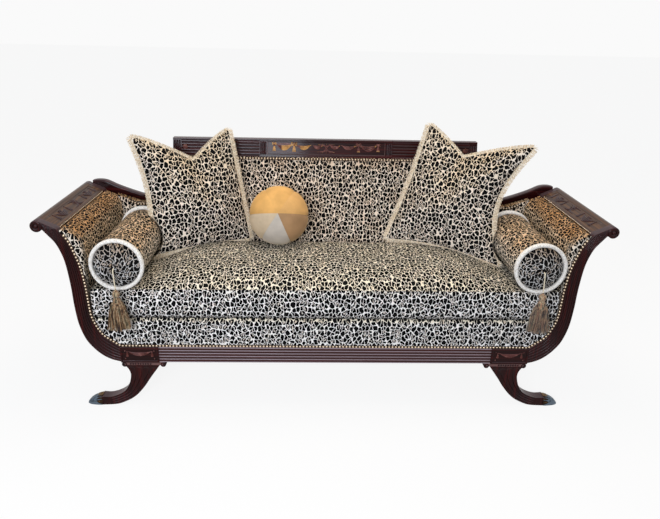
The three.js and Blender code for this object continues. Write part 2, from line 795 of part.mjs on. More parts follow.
// The cushion's top: a crown that is full in the middle and gone where the bolsters lie, and how
// full it is from front to back.
const crownReachShare = 0.56; // of the half length, the part with the full crown
const crownEndShare = 0.86; // of the half length, where the crown has gone
const crownShares = [
  [0, 0], [0.1, 0.52], [0.2, 0.82], [0.3, 0.97], [0.4, 1], [0.8, 1], [0.9, 0.86], [1, 0.4],
];
const cushionGrid = [32, 10, 3];
const cushionBottom = seatHeight + gap;
const cushionFront = borderRecess + cushionInset;
const cushionDepth = backFoot - cushionBackGap - cushionFront;
const boxingTop = cushionBottom + cushionBorder;

function cushionTop(x, y) {
  const across = 1 - THREE.MathUtils.smoothstep(Math.abs(x) / cushionHalf, crownReachShare, crownEndShare);
  const rise = readTable(crownShares, (y - cushionFront) / cushionDepth);
  return boxingTop + cushionCrown * across * rise;
}

function benchCushion() {
  const shape = new THREE.BoxGeometry(1, 1, 1, ...cushionGrid);
  return weld(reshape(shape, (point) => {
    const [u, v, w] = [point.x * 2, point.y + 0.5, point.z + 0.5];
    const waist = 1 - (2 * w - 1) ** 2;
    const x = u * (cushionHalf - cushionDraw * (1 - waist) * (1 - (2 * v - 1) ** 4));
    const rear = cushionDraw * (1 - u ** 4) * (1 - waist) * (v === 1 ? 1 : 0);
    const y = cushionFront + v * cushionDepth - rear;
    const top = cushionTop(x, cushionFront + v * cushionDepth);
    point.set(x, y, THREE.MathUtils.lerp(cushionBottom, top, w));
  }));
}

// A bolster about its own middle axis: a stuffed roll with a boss at each end for the trim. Its domed
// ends are in shares of the boss's radius and of the dome's height.
const domeShares = [[0.14, 1], [0.6, 0.65], [0.9, 0], [1, -0.42]];
const roundSteps = 24;

function bolsterRoll() {
  const boss = trimInner - gap;
  const start = trimWidth + gap;
  const end = [
    [0, -bolsterDome], ...domeShares.map(([r, y]) => [r * boss, -y * bolsterDome]),
    [boss, start], [bolsterRadius, start],
  ];
  const profile = [...end, ...end.map(([r, y]) => [r, bolsterLength - y]).reverse()];
  return weld(new THREE.LatheGeometry(profile.map(([r, y]) => new THREE.Vector2(r, y)), roundSteps));
}

// The thick cord that trims a bolster's end, in shares of its height and width.
const trimShares = [[0, 0], [0.7, 0], [1, 0.3], [1, 0.7], [0.7, 1], [0, 1], [0, 0]];

function bolsterTrim() {
  const profile = trimShares.map(([r, y]) => (
    new THREE.Vector2(THREE.MathUtils.lerp(trimInner, trimRadius, r), y * trimWidth)
  ));
  return weld(new THREE.LatheGeometry(profile, roundSteps));
}

// The tassel's cord leaves the button and hangs: places from the middle of the button's front.
const cordRoute = [
  [0, 0, 0], [0, -3, 0], [0, -8.5, -2], [0, -11.3, -6],
  [0.3, -12, -12], [1, -12, -30], [2, -12, -55], [3, -12, -76],
].map((place) => new THREE.Vector3(...place));

// The tassel's outline from the hem up, in shares of the skirt and then of the head.
const tasselSkirtShares = [[0, 1], [1, 1], [0.85, 0.6], [0.62, 0.25], [0.34, 0.04]];
const tasselHeadShares = [
  [0.95, 0.9], [1, 0.8], [0.62, 0.66], [0.95, 0.42], [0.8, 0.2], [0.3, 0], [0, 0],
];

function tassel(parent, name) {
  const route = new THREE.CatmullRomCurve3(cordRoute.map((place) => place.clone().setY(place.y - gap)));
  const section = new THREE.Shape().absarc(0, 0, tasselCordRadius, 0, 2 * Math.PI);
  const settings = { steps: 14, curveSegments: 4, extrudePath: route, bevelEnabled: false };
  piece(parent, `tassel_cord_${name}`, weld(new THREE.ExtrudeGeometry(section, settings)), creamTrim);
  const end = route.getPoint(1);
  const profile = [
    ...tasselSkirtShares.map(([r, z]) => [r * tasselSkirtRadius, -tasselHeadHeight - z * tasselSkirtHeight]),
    ...tasselHeadShares.map(([r, z]) => [r * tasselHeadRadius, -z * tasselHeadHeight]),
  ].map(([r, z]) => new THREE.Vector2(r, z));
  const shape = reshape(new THREE.LatheGeometry(profile, 14).rotateX(Math.PI / 2), (point) => {
    const down = THREE.MathUtils.clamp((-point.z - tasselHeadHeight) / tasselSkirtHeight, 0, 1);
    point.y *= THREE.MathUtils.lerp(1, tasselSkirtFlatShare, down);
  });
  shape.translate(end.x, end.y, end.z - gap);
  piece(parent, `tassel_${name}`, weld(shape), tasselThread);
}

const bolsterHeight = boxingTop + gap + trimRadius;
const bolsterGaps = { left: leftBolsterGap, right: rightBolsterGap };
const bolsterX = (side) => side.sign * (clearHalf(boxingTop) - trimRadius - bolsterGaps[side.name]);

// A covered button, in shares of its radius and height.
const buttonShares = [[0, 0], [1, 0], [1, 0.4], [0.7, 1], [0, 1]];

function bolsterButton() {
  const profile = buttonShares.map(([r, y]) => new THREE.Vector2(r * buttonRadius, -y * buttonHeight));
  return weld(new THREE.LatheGeometry(profile, roundSteps / 2));
}

function bolsters() {
  for (const side of sides) {
    const group = new THREE.Group();
    group.position.set(bolsterX(side), -bolsterOverhang, bolsterHeight);
    sofa.add(group);
    piece(group, `bolster_${side.name}`, bolsterRoll(), spottedFabric);
    piece(group, `bolster_trim_front_${side.name}`, bolsterTrim(), creamTrim);
    const rearTrim = piece(group, `bolster_trim_rear_${side.name}`, bolsterTrim(), creamTrim);
    rearTrim.position.y = bolsterLength - trimWidth;
    const button = piece(group, `bolster_button_${side.name}`, bolsterButton(), spottedFabric);
    button.position.y = -bolsterDome - gap;
    const hanging = new THREE.Group();
    hanging.position.y = button.position.y - buttonHeight;
    group.add(hanging);
    tassel(hanging, side.name);
  }
}

// What presses on a pillow from below and beside it: a bolster and the space under it.
function bolsterShadow(side) {
  const radius = trimRadius + pressGap;
  const outline = new THREE.Path().absarc(0, 0, radius, 0, Math.PI).getPoints(roundSteps / 2);
  outline.push(new THREE.Vector2(-radius, -2 * radius), new THREE.Vector2(radius, -2 * radius));
  const shape = frontOutline(outline, -pressGap, bolsterLength + pressGap);
  return shape.translate(bolsterX(side), -bolsterOverhang, bolsterHeight);
}

// The pillows as they lean and turn, in degrees. Their corners are in shares of the size, from their
// own middle, as is what each side is drawn in between its corners.
const pillows = [
  {
    side: sides[0],
    turn: 25,
    place: [leftPillowInset, leftPillowForward, leftPillowRise],
    cornerShares: [[-0.396, -0.5], [0.472, -0.46], [0.368, 0.49], [-0.444, 0.478]],
    dipShares: { bottom: 0.02, right: 0, top: 0.178, left: 0.076 },
  },
  {
    side: sides[1],
    turn: -25.5,
    place: [rightPillowInset, rightPillowForward, rightPillowRise],
    cornerShares: [[-0.606, -0.462], [0.402, -0.548], [0.542, 0.45], [-0.338, 0.56]],
    dipShares: { bottom: 0.05, right: 0.17, top: 0.158, left: 0.02 },
  },
];

// A place on a pillow's middle sheet, for u and v from 0 to 1.
function pillowPlace({ cornerShares, dipShares }, u, v) {
  const [a, b, c, d] = cornerShares.map(([x, z]) => new THREE.Vector2(x, z));
  const place = a.lerp(b, u).lerp(d.lerp(c, u), v);
  const [across, up] = [Math.sin(Math.PI * u), Math.sin(Math.PI * v)];
  place.y += dipShares.bottom * across * (1 - v) ** 2 - dipShares.top * across * v ** 2;
  place.x += dipShares.left * up * (1 - u) ** 2 - dipShares.right * up * u ** 2;
  return place.multiplyScalar(pillowSize);
}

function leaned(pillow, shape) {
  const tilt = THREE.MathUtils.degToRad(pillowLean);
  const [inset, forward, rise] = pillow.place;
  shape.rotateX(-tilt).rotateZ(THREE.MathUtils.degToRad(pillow.turn));
  return shape.translate(pillow.side.sign * (cushionHalf - inset), backFoot - forward, boxingTop + rise);
}

function pillowBody(pillow) {
  const shape = new THREE.BoxGeometry(1, 1, 1, pillowSteps, 1, pillowSteps);
  reshape(shape, (point) => {
    const [u, v] = [point.x + 0.5, point.z + 0.5];
    const place = pillowPlace(pillow, u, v);
    const fill = (Math.sin(Math.PI * u) * Math.sin(Math.PI * v)) ** pillowFullness;
    point.set(place.x, point.y * THREE.MathUtils.lerp(pillowEdge, pillowLoft, fill), place.y);
  });
  return leaned(pillow, shape);
}

// The brush fringe runs round the pillow's edge.
function pillowFringe(pillow) {
  const edge = [];
  for (const [from, to] of [[[0, 0], [1, 0]], [[1, 0], [1, 1]], [[1, 1], [0, 1]], [[0, 1], [0, 0]]]) {
    for (let i = 0; i < pillowSteps; i += 1) {
      const [u, v] = [0, 1].map((k) => THREE.MathUtils.lerp(from[k], to[k], i / pillowSteps));
      edge.push(pillowPlace(pillow, u, v));
    }
  }
  const outward = (from, to) => new THREE.Vector2(to.y - from.y, from.x - to.x).normalize();
  const half = fringeThickness / 2;
  const rings = edge.map((point, i) => {
    const before = outward(edge.at(i - 1), point);
    const after = outward(point, edge[(i + 1) % edge.length]);
    const out = before.clone().add(after).divideScalar(1 + before.dot(after));
    out.clampLength(0, fringeCornerShare);
    const isTop = i > 2 * pillowSteps && i < 3 * pillowSteps;
    const [near, far] = [gap, isTop ? fringeTopWidth : fringeWidth].map((distance) => (
      point.clone().addScaledVector(out, distance)
    ));
    return [[near, -half], [far, -half], [far, half], [near, half]].map(([place, y]) => (
      new THREE.Vector3(place.x, y, place.y)
    ));
  });
  return leaned(pillow, loft(rings, true));
}

// The ball is sewn of gores that meet at the front and the back.
function ballPillow() {
  const shape = new THREE.SphereGeometry(1, 4 * ballGores, 2 * ballGores + 2);
  reshape(shape, (point) => {
    const seam = Math.abs(Math.cos((ballGores / 2) * Math.atan2(point.z, point.x))) ** ballGores;
    const crease = 1 - goreCreaseShare * seam * Math.hypot(point.x, point.z);
    point.set(point.x * crease, point.y, point.z * crease);
  });
  const y = backFoot - ballForward;
  const rest = cushionTop(-ballOffset, y) + ballWidth / 2 - ballSink;
  shape.scale(ballWidth / 2, ballDepth / 2, ballWidth / 2);
  return shape.translate(-ballOffset, y, rest);
}

// Loose pieces. Each soft one is pressed to the shape of what it rests on.
function looseSoftPieces() {
  const cushion = benchCushion();
  piece(sofa, 'seat_cushion', cushion, spottedFabric);
  const seatBelow = cushion.clone().translate(0, 0, gap);
  const backBehind = insideBack().translate(0, -gap, 0);
  for (const pillow of pillows) {
    const { name } = pillow.side;
    const tools = [seatBelow, backBehind, bolsterShadow(pillow.side)];
    piece(sofa, `pillow_${name}`, cut(pillowBody(pillow), ...tools), spottedFabric);
    piece(sofa, `pillow_fringe_${name}`, cut(pillowFringe(pillow), ...tools), creamTrim);
  }
  piece(sofa, 'ball_pillow', cut(ballPillow(), seatBelow, backBehind), goldVelvet);
}

seatFrame();
legs();
arms();
back();
seat();
piece(sofa, 'front_nails', frontNails(), brassNails);
looseSoftPieces();
bolsters();

// The sofa's origin is on the floor, midway along it and midway between the buttons on the bolsters
// and the back of the crest.
const frontMost = -bolsterOverhang - bolsterDome - gap - buttonHeight;
const rearMost = crestFront + crestThickness + crestRake;
sofa.position.y = -(frontMost + rearMost) / 2;

export default sofa;
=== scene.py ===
# %% [markdown]
# # A scroll-arm sofa, dressed in Blender
#
# This lesson dresses a long sofa of the kind called a recamier: a dark, glossy mahogany show frame
# with reeded arms, carved panels and sabre legs, tight upholstery in a spotted velvet, and loose
# cushions. The plain solids come from a CAD model. Here each one gets its real surface: rounded reeds,
# carved relief, rows of domed nails, cloth that is cut in panels, and threads in the fringes.
#
# The CAD model is opened first, because every new piece takes its place from it.

# %% Open the CAD model
import functools
import math

import bmesh
import bpy
import numpy as np
from mathutils import Matrix, Vector, noise


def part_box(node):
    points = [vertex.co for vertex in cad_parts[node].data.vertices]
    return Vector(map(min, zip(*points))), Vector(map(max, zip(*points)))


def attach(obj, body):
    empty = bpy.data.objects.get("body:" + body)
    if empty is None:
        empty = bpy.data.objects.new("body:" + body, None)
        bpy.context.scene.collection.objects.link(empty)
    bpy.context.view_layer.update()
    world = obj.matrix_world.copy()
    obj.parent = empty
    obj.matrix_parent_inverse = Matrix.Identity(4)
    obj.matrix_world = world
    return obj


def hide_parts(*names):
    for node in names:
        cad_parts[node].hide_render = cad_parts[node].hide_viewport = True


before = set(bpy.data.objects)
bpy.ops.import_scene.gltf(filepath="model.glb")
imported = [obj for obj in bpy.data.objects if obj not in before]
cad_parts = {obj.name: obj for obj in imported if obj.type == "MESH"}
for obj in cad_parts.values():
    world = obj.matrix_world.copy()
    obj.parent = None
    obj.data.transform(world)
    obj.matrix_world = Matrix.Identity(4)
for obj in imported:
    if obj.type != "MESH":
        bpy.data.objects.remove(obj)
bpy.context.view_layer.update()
arm_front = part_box("arm_facing_right")[0].y
print(len(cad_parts), "solids, the arms' front at y =", round(arm_front, 5))

# %% [markdown]
# ## Camera, light and floor
#
# The camera stands where the photographer stood: 1.47 m above the floor and a little to the left of
# the middle, tilted 21 degrees down. A camera can be placed by angles, but a matrix of its three
# directions keeps the small roll exact.

# %% Camera
yaw, pitch, roll = 0.03683, 0.36285, 0.02293
camera_place, lens_mm = (-0.07613, -2.50772, 1.47296), 34.6625
scene = bpy.context.scene
ahead = Vector((math.sin(yaw) * math.cos(pitch), math.cos(yaw) * math.cos(pitch), -math.sin(pitch)))
level = Vector((math.cos(yaw), -math.sin(yaw), 0))
upright = level.cross(ahead)
across = math.cos(roll) * level + math.sin(roll) * upright
above = math.cos(roll) * upright - math.sin(roll) * level
camera = bpy.data.objects.new("camera", bpy.data.cameras.new("camera"))
camera.data.lens, camera.data.clip_start = lens_mm, 0.05
camera.matrix_world = Matrix.Translation(camera_place) @ Matrix((across, above, -ahead)).transposed().to_4x4()
scene.collection.objects.link(camera)
scene.camera = camera
print("camera looks along", tuple(round(part, 3) for part in ahead))

# %% [markdown]
# Materials are written as small node trees. Three helpers carry the whole lesson. One turns a colour
# as a painter would write it, in hex, into the linear numbers that Blender's sockets take. One adds a
# node with its settings and links, and a node that is given as an input stands for its own result.
# One sets the stops of a colour ramp.


# %% Helpers for materials
def linear(code):
    """Turns a hex sRGB colour into linear values."""
    parts = [int(code[i : i + 2], 16) / 255 for i in (1, 3, 5)]
    return (*[c / 12.92 if c <= 0.04045 else ((c + 0.055) / 1.055) ** 2.4 for c in parts], 1.0)


def add(tree, kind, inputs=None, **settings):
    """Adds a node. An input is a plain value, another node, or another node's output."""
    made = tree.nodes.new("ShaderNode" + kind)
    for name, value in settings.items():
        setattr(made, name, value)
    for key, value in (inputs or {}).items():
        if isinstance(value, bpy.types.Node):
            value = next(output for output in value.outputs if output.enabled)
        if isinstance(value, bpy.types.NodeSocket):
            tree.links.new(value, made.inputs[key])
        else:
            made.inputs[key].default_value = value
    return made


def colour_stops(ramp, stops):
    """Sets a colour ramp's stops, each a position and a hex colour."""
    steps = ramp.color_ramp.elements
    for step, (position, colour) in zip(steps, (stops[0], stops[-1])):
        step.position, step.color = position, linear(colour)
    for position, colour in stops[1:-1]:
        steps.new(position).color = linear(colour)


def new_material(name):
    """An empty material, and the function that adds a node to it."""
    made = bpy.data.materials.new(name)
    made.use_nodes = True
    made.node_tree.nodes.clear()
    return made, functools.partial(add, made.node_tree)


print("mid grey is", round(linear("#808080")[0], 4))

# %% [markdown]
# The light is that of a plain studio: one large soft panel overhead, a little warm, and one in front,
# a little cool, as in a room with a lamp above and a window before the sofa. Both are small enough to
# draw bright lines on the polished reeds. The floor is white. It keeps the sofa's shadow, and what the
# camera sees of it is lifted towards white by Light Path, also in the polish and through thin things.


# %% Light and floor
def seen_directly(node):
    """1 for rays of the camera, of the polish and through thin things, 0 for rays that carry light."""
    rays = node("LightPath").outputs
    seen = node("Math", {0: rays["Is Camera Ray"], 1: rays["Is Glossy Ray"]}, operation="MAXIMUM")
    return node("Math", {0: seen, 1: rays["Is Transmission Ray"]}, operation="MAXIMUM")


for name, place, size, power, colour in (
    ("overhead", (0.2, 0.1, 2.9), (1.8, 1.0), 27, "#fff1dd"),
    ("window", (-0.9, -3.4, 1.7), (1.5, 1.0), 92, "#eef3ff"),
):
    lamp = bpy.data.objects.new(name, bpy.data.lights.new(name, "AREA"))
    lamp.data.shape = "RECTANGLE"
    lamp.data.size, lamp.data.size_y = size
    lamp.data.energy, lamp.data.color = power, linear(colour)[:3]
    lamp.location = place
    lamp.rotation_euler = (Vector((0, 0, 0.5)) - Vector(place)).to_track_quat("-Z", "Y").to_euler()
    scene.collection.objects.link(lamp)

world = bpy.data.worlds.new("studio")
world.use_nodes = True
world.node_tree.nodes.clear()
node = functools.partial(add, world.node_tree)
room = node("Background", {"Color": linear("#eef0f4"), "Strength": 0.55})
backdrop = node("Background", {"Color": linear("#fafafa"), "Strength": 1.0})
mixed = node("MixShader", {0: seen_directly(node), 1: room, 2: backdrop})
node("OutputWorld", {"Surface": mixed})
scene.world = world
scene.view_settings.view_transform = "Standard"

floor_look, node = new_material("white_studio_floor")
paint = node("BsdfDiffuse", {"Color": linear("#f2f2f0")})
lift = node("Emission", {"Color": linear("#ffffff"), "Strength": seen_directly(node)})
lifted_share = 0.88
node("OutputMaterial", {"Surface": node("MixShader", {0: lifted_share, 1: paint, 2: lift})})
floor_shape = bmesh.new()
bmesh.ops.create_grid(floor_shape, x_segments=4, y_segments=4, size=30)
floor_mesh = bpy.data.meshes.new("floor")
floor_shape.to_mesh(floor_mesh)
floor_shape.free()
floor_mesh.materials.append(floor_look)
floor = bpy.data.objects.new("floor", floor_mesh)
scene.collection.objects.link(floor)
print("two lamps and a floor of", floor.dimensions.x, "m")

# %% [markdown]
# ## Ways to make a shape
#
# Nearly all of a sofa's parts are either a section that runs along a line, such as a reeded rail, or
# a panel of cloth that is stretched over a form. Both start here as one of Blender's own grids, whose
# corners are then moved. Lengths are written in millimetres, with y from the front of the arms, as on
# a maker's drawing, and `at` turns them into the scene's metres. The other helpers here work on lines:
# even steps along one, a smooth one through a few points, and one beside another.


# %% Helpers for places
arm_depth = 620


def at(x, y, z, side=1, rear=False):
    """Points in the scene. Side -1 mirrors to the left, and rear turns a piece to face back."""
    y = arm_depth - np.asarray(y, float) if rear else y
    parts = np.broadcast_arrays(np.asarray(x, float) * side, np.asarray(y, float), np.asarray(z, float))
    return np.stack(parts, axis=-1) / 1000 + [0, arm_front, 0]


def all_at(places):
    """The same for an array of places in mm."""
    return at(places[..., 0], places[..., 1], places[..., 2])


def on_face(line, y, side=1, rear=False):
    """The same for a line drawn on the front view, as (x, z), at a depth."""
    return at(line[..., 0], y, line[..., 1], side, rear)


def unit(arrows):
    """Arrows of length 1."""
    return arrows / np.linalg.norm(arrows, axis=-1, keepdims=True)


def lengths(line):
    """How far along a line each of its points is."""
    return np.concatenate([[0], np.cumsum(np.linalg.norm(np.diff(line, axis=0), axis=1))])


def sampled(places, walked, table):
    """Reads each column of a table at places along a walk."""
    return np.stack([np.interp(places, walked, column) for column in table.T], axis=1)


def even_line(line, count):
    """That many points at even steps along a line."""
    walked = lengths(line)
    return sampled(np.linspace(0, walked[-1], count), walked, line)


def smooth_line(points, count):
    """That many points at even steps along a smooth line through the given ones."""
    points = np.asarray(points, float)
    last = len(points) - 1
    places = np.linspace(0, last, 40 * last + 1)
    row = np.minimum(places.astype(int), last - 1)
    step = (places - row)[:, None]
    a, b, c, d = (points[np.clip(row + k, 0, last)] for k in (-1, 0, 1, 2))
    bend = 2 * a - 5 * b + 4 * c - d + step * (3 * b - a - 3 * c + d)
    return even_line(b + step / 2 * (c - a + step * bend), count)


def offset_line(line, distance):
    """Moves a line in its plane to the left as one walks along it."""
    along = unit(np.gradient(line, axis=0))
    return line + np.stack([-along[:, 1], along[:, 0]], axis=1) * np.reshape(distance, (-1, 1))


def smooth(low, high, value):
    """A soft step from 0 to 1."""
    part = np.clip((np.asarray(value, float) - low) / (high - low), 0, 1)
    return part * part * (3 - 2 * part)


def circle(centre, radius, degrees):
    """Points on a circle, as (across, up)."""
    turn = np.radians(np.asarray(degrees, float))
    return np.asarray(centre, float) + radius * np.stack([np.cos(turn), np.sin(turn)], axis=-1)


def soft_noise(points, size, amount, seed=0.0):
    """A gentle unevenness, in mm, for each point of an array in metres."""
    grown = [noise.noise(Vector(point) * (1000 / size) + Vector((seed,) * 3)) for point in points.reshape(-1, 3)]
    return amount * np.array(grown).reshape(points.shape[:-1])


sides = [("left", -1), ("right", 1)]
print("the arms' front is at", at(0, 0, 0))

# %% [markdown]
# A panel is one grid. It can carry the cloth's cut as a UV map, in metres, so that the print keeps its
# real size. A skin is a panel that closes round a row of sections. Threads, nails and carved strokes
# come by the hundred, and one grid makes them all: the cells that would join them are deleted. The
# last helper finishes a piece. It sews what meets, closes what is open, gives the piece its materials,
# lets it ride on its body and hides the CAD solid that it stands in for.


# %% Helpers for shapes
def panel(bm, points, cloth=None):
    """Adds a grid and moves its corners to an array of points. Cloth gives each corner's UV."""
    rows, columns = points.shape[:2]
    corners = bmesh.ops.create_grid(bm, x_segments=columns - 1, y_segments=rows - 1, size=1)["verts"]
    if cloth is not None:
        layer = bm.loops.layers.uv.get("cloth") or bm.loops.layers.uv.new("cloth")
        flat = dict(zip(corners, np.asarray(cloth, float).reshape(-1, 2)))
        for corner in corners:
            for loop in corner.link_loops:
                loop[layer].uv = flat[corner]
    for corner, point in zip(corners, points.reshape(-1, 3)):
        corner.co = point


def ringed(sections):
    """Closes each section of a row by its first point."""
    return np.concatenate([sections, sections[:, :1]], axis=1)


def skin(bm, sections, wrap=False):
    """Skins a row of closed sections. With wrap, the cloth is laid round them at its real size."""
    closed = ringed(np.asarray(sections))
    cloth = None
    if wrap:
        round_it = np.array([lengths(section) for section in closed])
        along = lengths(closed.mean(axis=1))
        cloth = np.stack([round_it, np.broadcast_to(along[:, None], round_it.shape)], axis=-1)
    panel(bm, closed, cloth)


def repeated(bm, pieces):
    """Adds many small strips that all have as many corners, by one grid whose joining cells go."""
    count, rows, columns = pieces.shape[:3]
    start = len(bm.faces)
    panel(bm, pieces.transpose(1, 0, 2, 3).reshape(rows, count * columns, 3))
    cells = count * columns - 1
    joining = [face for k, face in enumerate(list(bm.faces)[start:]) if k % cells % columns == columns - 1]
    bmesh.ops.delete(bm, geom=joining, context="FACES")


def second_look(bm, start, number=1):
    """Gives the faces from a count on a piece's second material."""
    for face in list(bm.faces)[start:]:
        face.material_index = number


def new_piece(name, bm, looks, stands_for=None, body="frame", sharp=42, bevel=0):
    """Finishes a piece: one mesh on its body, in place of a CAD solid."""
    bmesh.ops.remove_doubles(bm, verts=bm.verts, dist=0.00001)
    bmesh.ops.holes_fill(bm, edges=[edge for edge in bm.edges if edge.is_boundary], sides=0)
    bmesh.ops.recalc_face_normals(bm, faces=bm.faces)
    mesh = bpy.data.meshes.new(name)
    bm.to_mesh(mesh)
    bm.free()
    for look in looks:
        mesh.materials.append(look)
    mesh.shade_smooth()
    mesh.set_sharp_from_angle(angle=math.radians(sharp))
    made = bpy.data.objects.new(name, mesh)
    scene.collection.objects.link(made)
    if bevel:
        edge = made.modifiers.new("soft_arris", "BEVEL")
        edge.width, edge.segments, edge.limit_method = bevel / 1000, 2, "ANGLE"
        edge.angle_limit = math.radians(sharp)
    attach(made, body)
    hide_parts(*([stands_for] if stands_for else []))
    print(name, len(mesh.polygons), "faces")
    return made


print("panels, skins and strips make the faces, and new_piece finishes them")

# %% [markdown]
# ## Mahogany under a gloss finish
#
# The show wood is mahogany, stained almost black-red, French polished and rubbed. Its pores and
# ribbons run with the grain, so one noise is stretched forty times along the wood. Polish is a clear
# film on top, which Blender's coat gives. On crowns the colour turns pale: the stain is rubbed thin,
# and a highlight is painted there too. Grooves are painted near-black, a painted shade, and what faces
# up gets a painted highlight, a pale reflection of the room: the mesh's own pointiness and slope tell
# these apart. The frame is cut from boards that run three ways, so the recipe has a grain to set.


# %% Mahogany
def polished_wood(name, grain, stain, rubbed_edge_and_highlight="#a07a74", gloss=0.1, highlight_share=0.08, coat=0.2):
    """Wood whose noise has so many cells a metre each way, and whose stain runs from dark to light."""
    made, node = new_material(name)
    shape = node("NewGeometry").outputs
    along = node("Mapping", {0: node("TexCoord").outputs["Object"], "Scale": grain})
    ribbon = node("TexNoise", {"Vector": along, "Scale": 1.0, "Detail": 6.0, "Roughness": 0.62})
    pores = node("TexNoise", {"Vector": along, "Scale": 9.0, "Detail": 2.0})
    colour = node("ValToRGB", {0: ribbon})
    colour_stops(colour, list(zip((0.3, 0.52, 0.74), stain)))
    # Pale crowns: the stain rubbed thin, plus a painted highlight. Near-black grooves: painted shade. Pale where the
    # surface faces up: a painted highlight.
    crown = node("MapRange", {0: shape["Pointiness"], 1: 0.57, 2: 0.74, 4: 0.6})
    groove = node("MapRange", {0: shape["Pointiness"], 1: 0.49, 2: 0.4, 4: 0.85})
    upward = node("SeparateXYZ", {0: shape["Normal"]}).outputs[2]
    upward_highlight = node("MapRange", {0: upward, 1: 0.3, 2: 0.75, 4: highlight_share})
    for share, over in ((crown, rubbed_edge_and_highlight), (groove, "#0b0303"), (upward_highlight, "#c6b4ba")):
        colour = node("Mix", {0: share, 6: colour, 7: linear(over)}, data_type="RGBA")
    bump = node("Bump", {"Height": pores, "Strength": 0.12, "Distance": 0.0004})
    rough = node("MapRange", {0: ribbon, 1: 0.3, 2: 0.7, 3: 0.3, 4: 0.42})
    wood = {"Base Color": colour, "Roughness": rough, "IOR": 1.45, "Specular IOR Level": 0.08, "Normal": bump}
    polish = {"Coat Weight": coat, "Coat IOR": 1.4, "Coat Roughness": gloss}
    node("OutputMaterial", {"Surface": node("BsdfPrincipled", wood | polish)})
    return made


red_stain = ("#120203", "#260505", "#48100e")
brown_stain = ("#24160c", "#4a3020", "#6e4c30")
# A gold that paints a warm reflection on part of the crest's carving.
gold_reflection_stain = ("#7a5028", "#bc8e54", "#e0bc84")
# A paler stain for carved strokes: a painted highlight, so they catch light.
pale_highlight_stain = ("#30120e", "#643630", "#94685f")
bare = ("#9a7448", "#b08a5c", "#c8a878")
wood_across = polished_wood("mahogany_grain_along_the_sofa", (3, 120, 120), red_stain)
# The front rail's reeds get a strong painted highlight where they face up.
rail_wood = polished_wood("mahogany_front_rail", (3, 120, 120), red_stain, highlight_share=0.7)
wood_upright = polished_wood("mahogany_grain_upright", (110, 110, 4), red_stain)
tablet_wood = polished_wood("glazed_mahogany_tablet", (120, 3, 120), brown_stain, "#90683e", 0.25, 0.0)
gold_reflection_wood = polished_wood("carving_painted_gold_reflection", (60, 60, 60), gold_reflection_stain, "#f2dcae", 0.25, 0.0)
pale_highlight_wood = polished_wood("carving_painted_pale_highlight", (60, 60, 60), pale_highlight_stain, "#c8a49a", 0.2)
inner_wood = polished_wood("bare_poplar_front_to_back", (120, 4, 120), bare, "#d0b48a", 0.6, coat=0.0)
print("seven woods")

# %% [markdown]
# ## Spotted velvet
#
# The covers are a printed velvet: near-black ovals and open rosettes on ivory, about 15 mm from one to
# the next and a third longer up the cloth than across it. A Voronoi texture scatters the points. Each
# spot is an oval round its point, tilted by the cell's own random colour, and the distance to the
# nearest cell edge keeps an ivory net between the spots and rounds them where they meet. Three spots
# in eight are rosettes, whose middle opens to one side like a C. Two noises bend the cloth and tear
# the outlines, so that no spot has a ruled side.


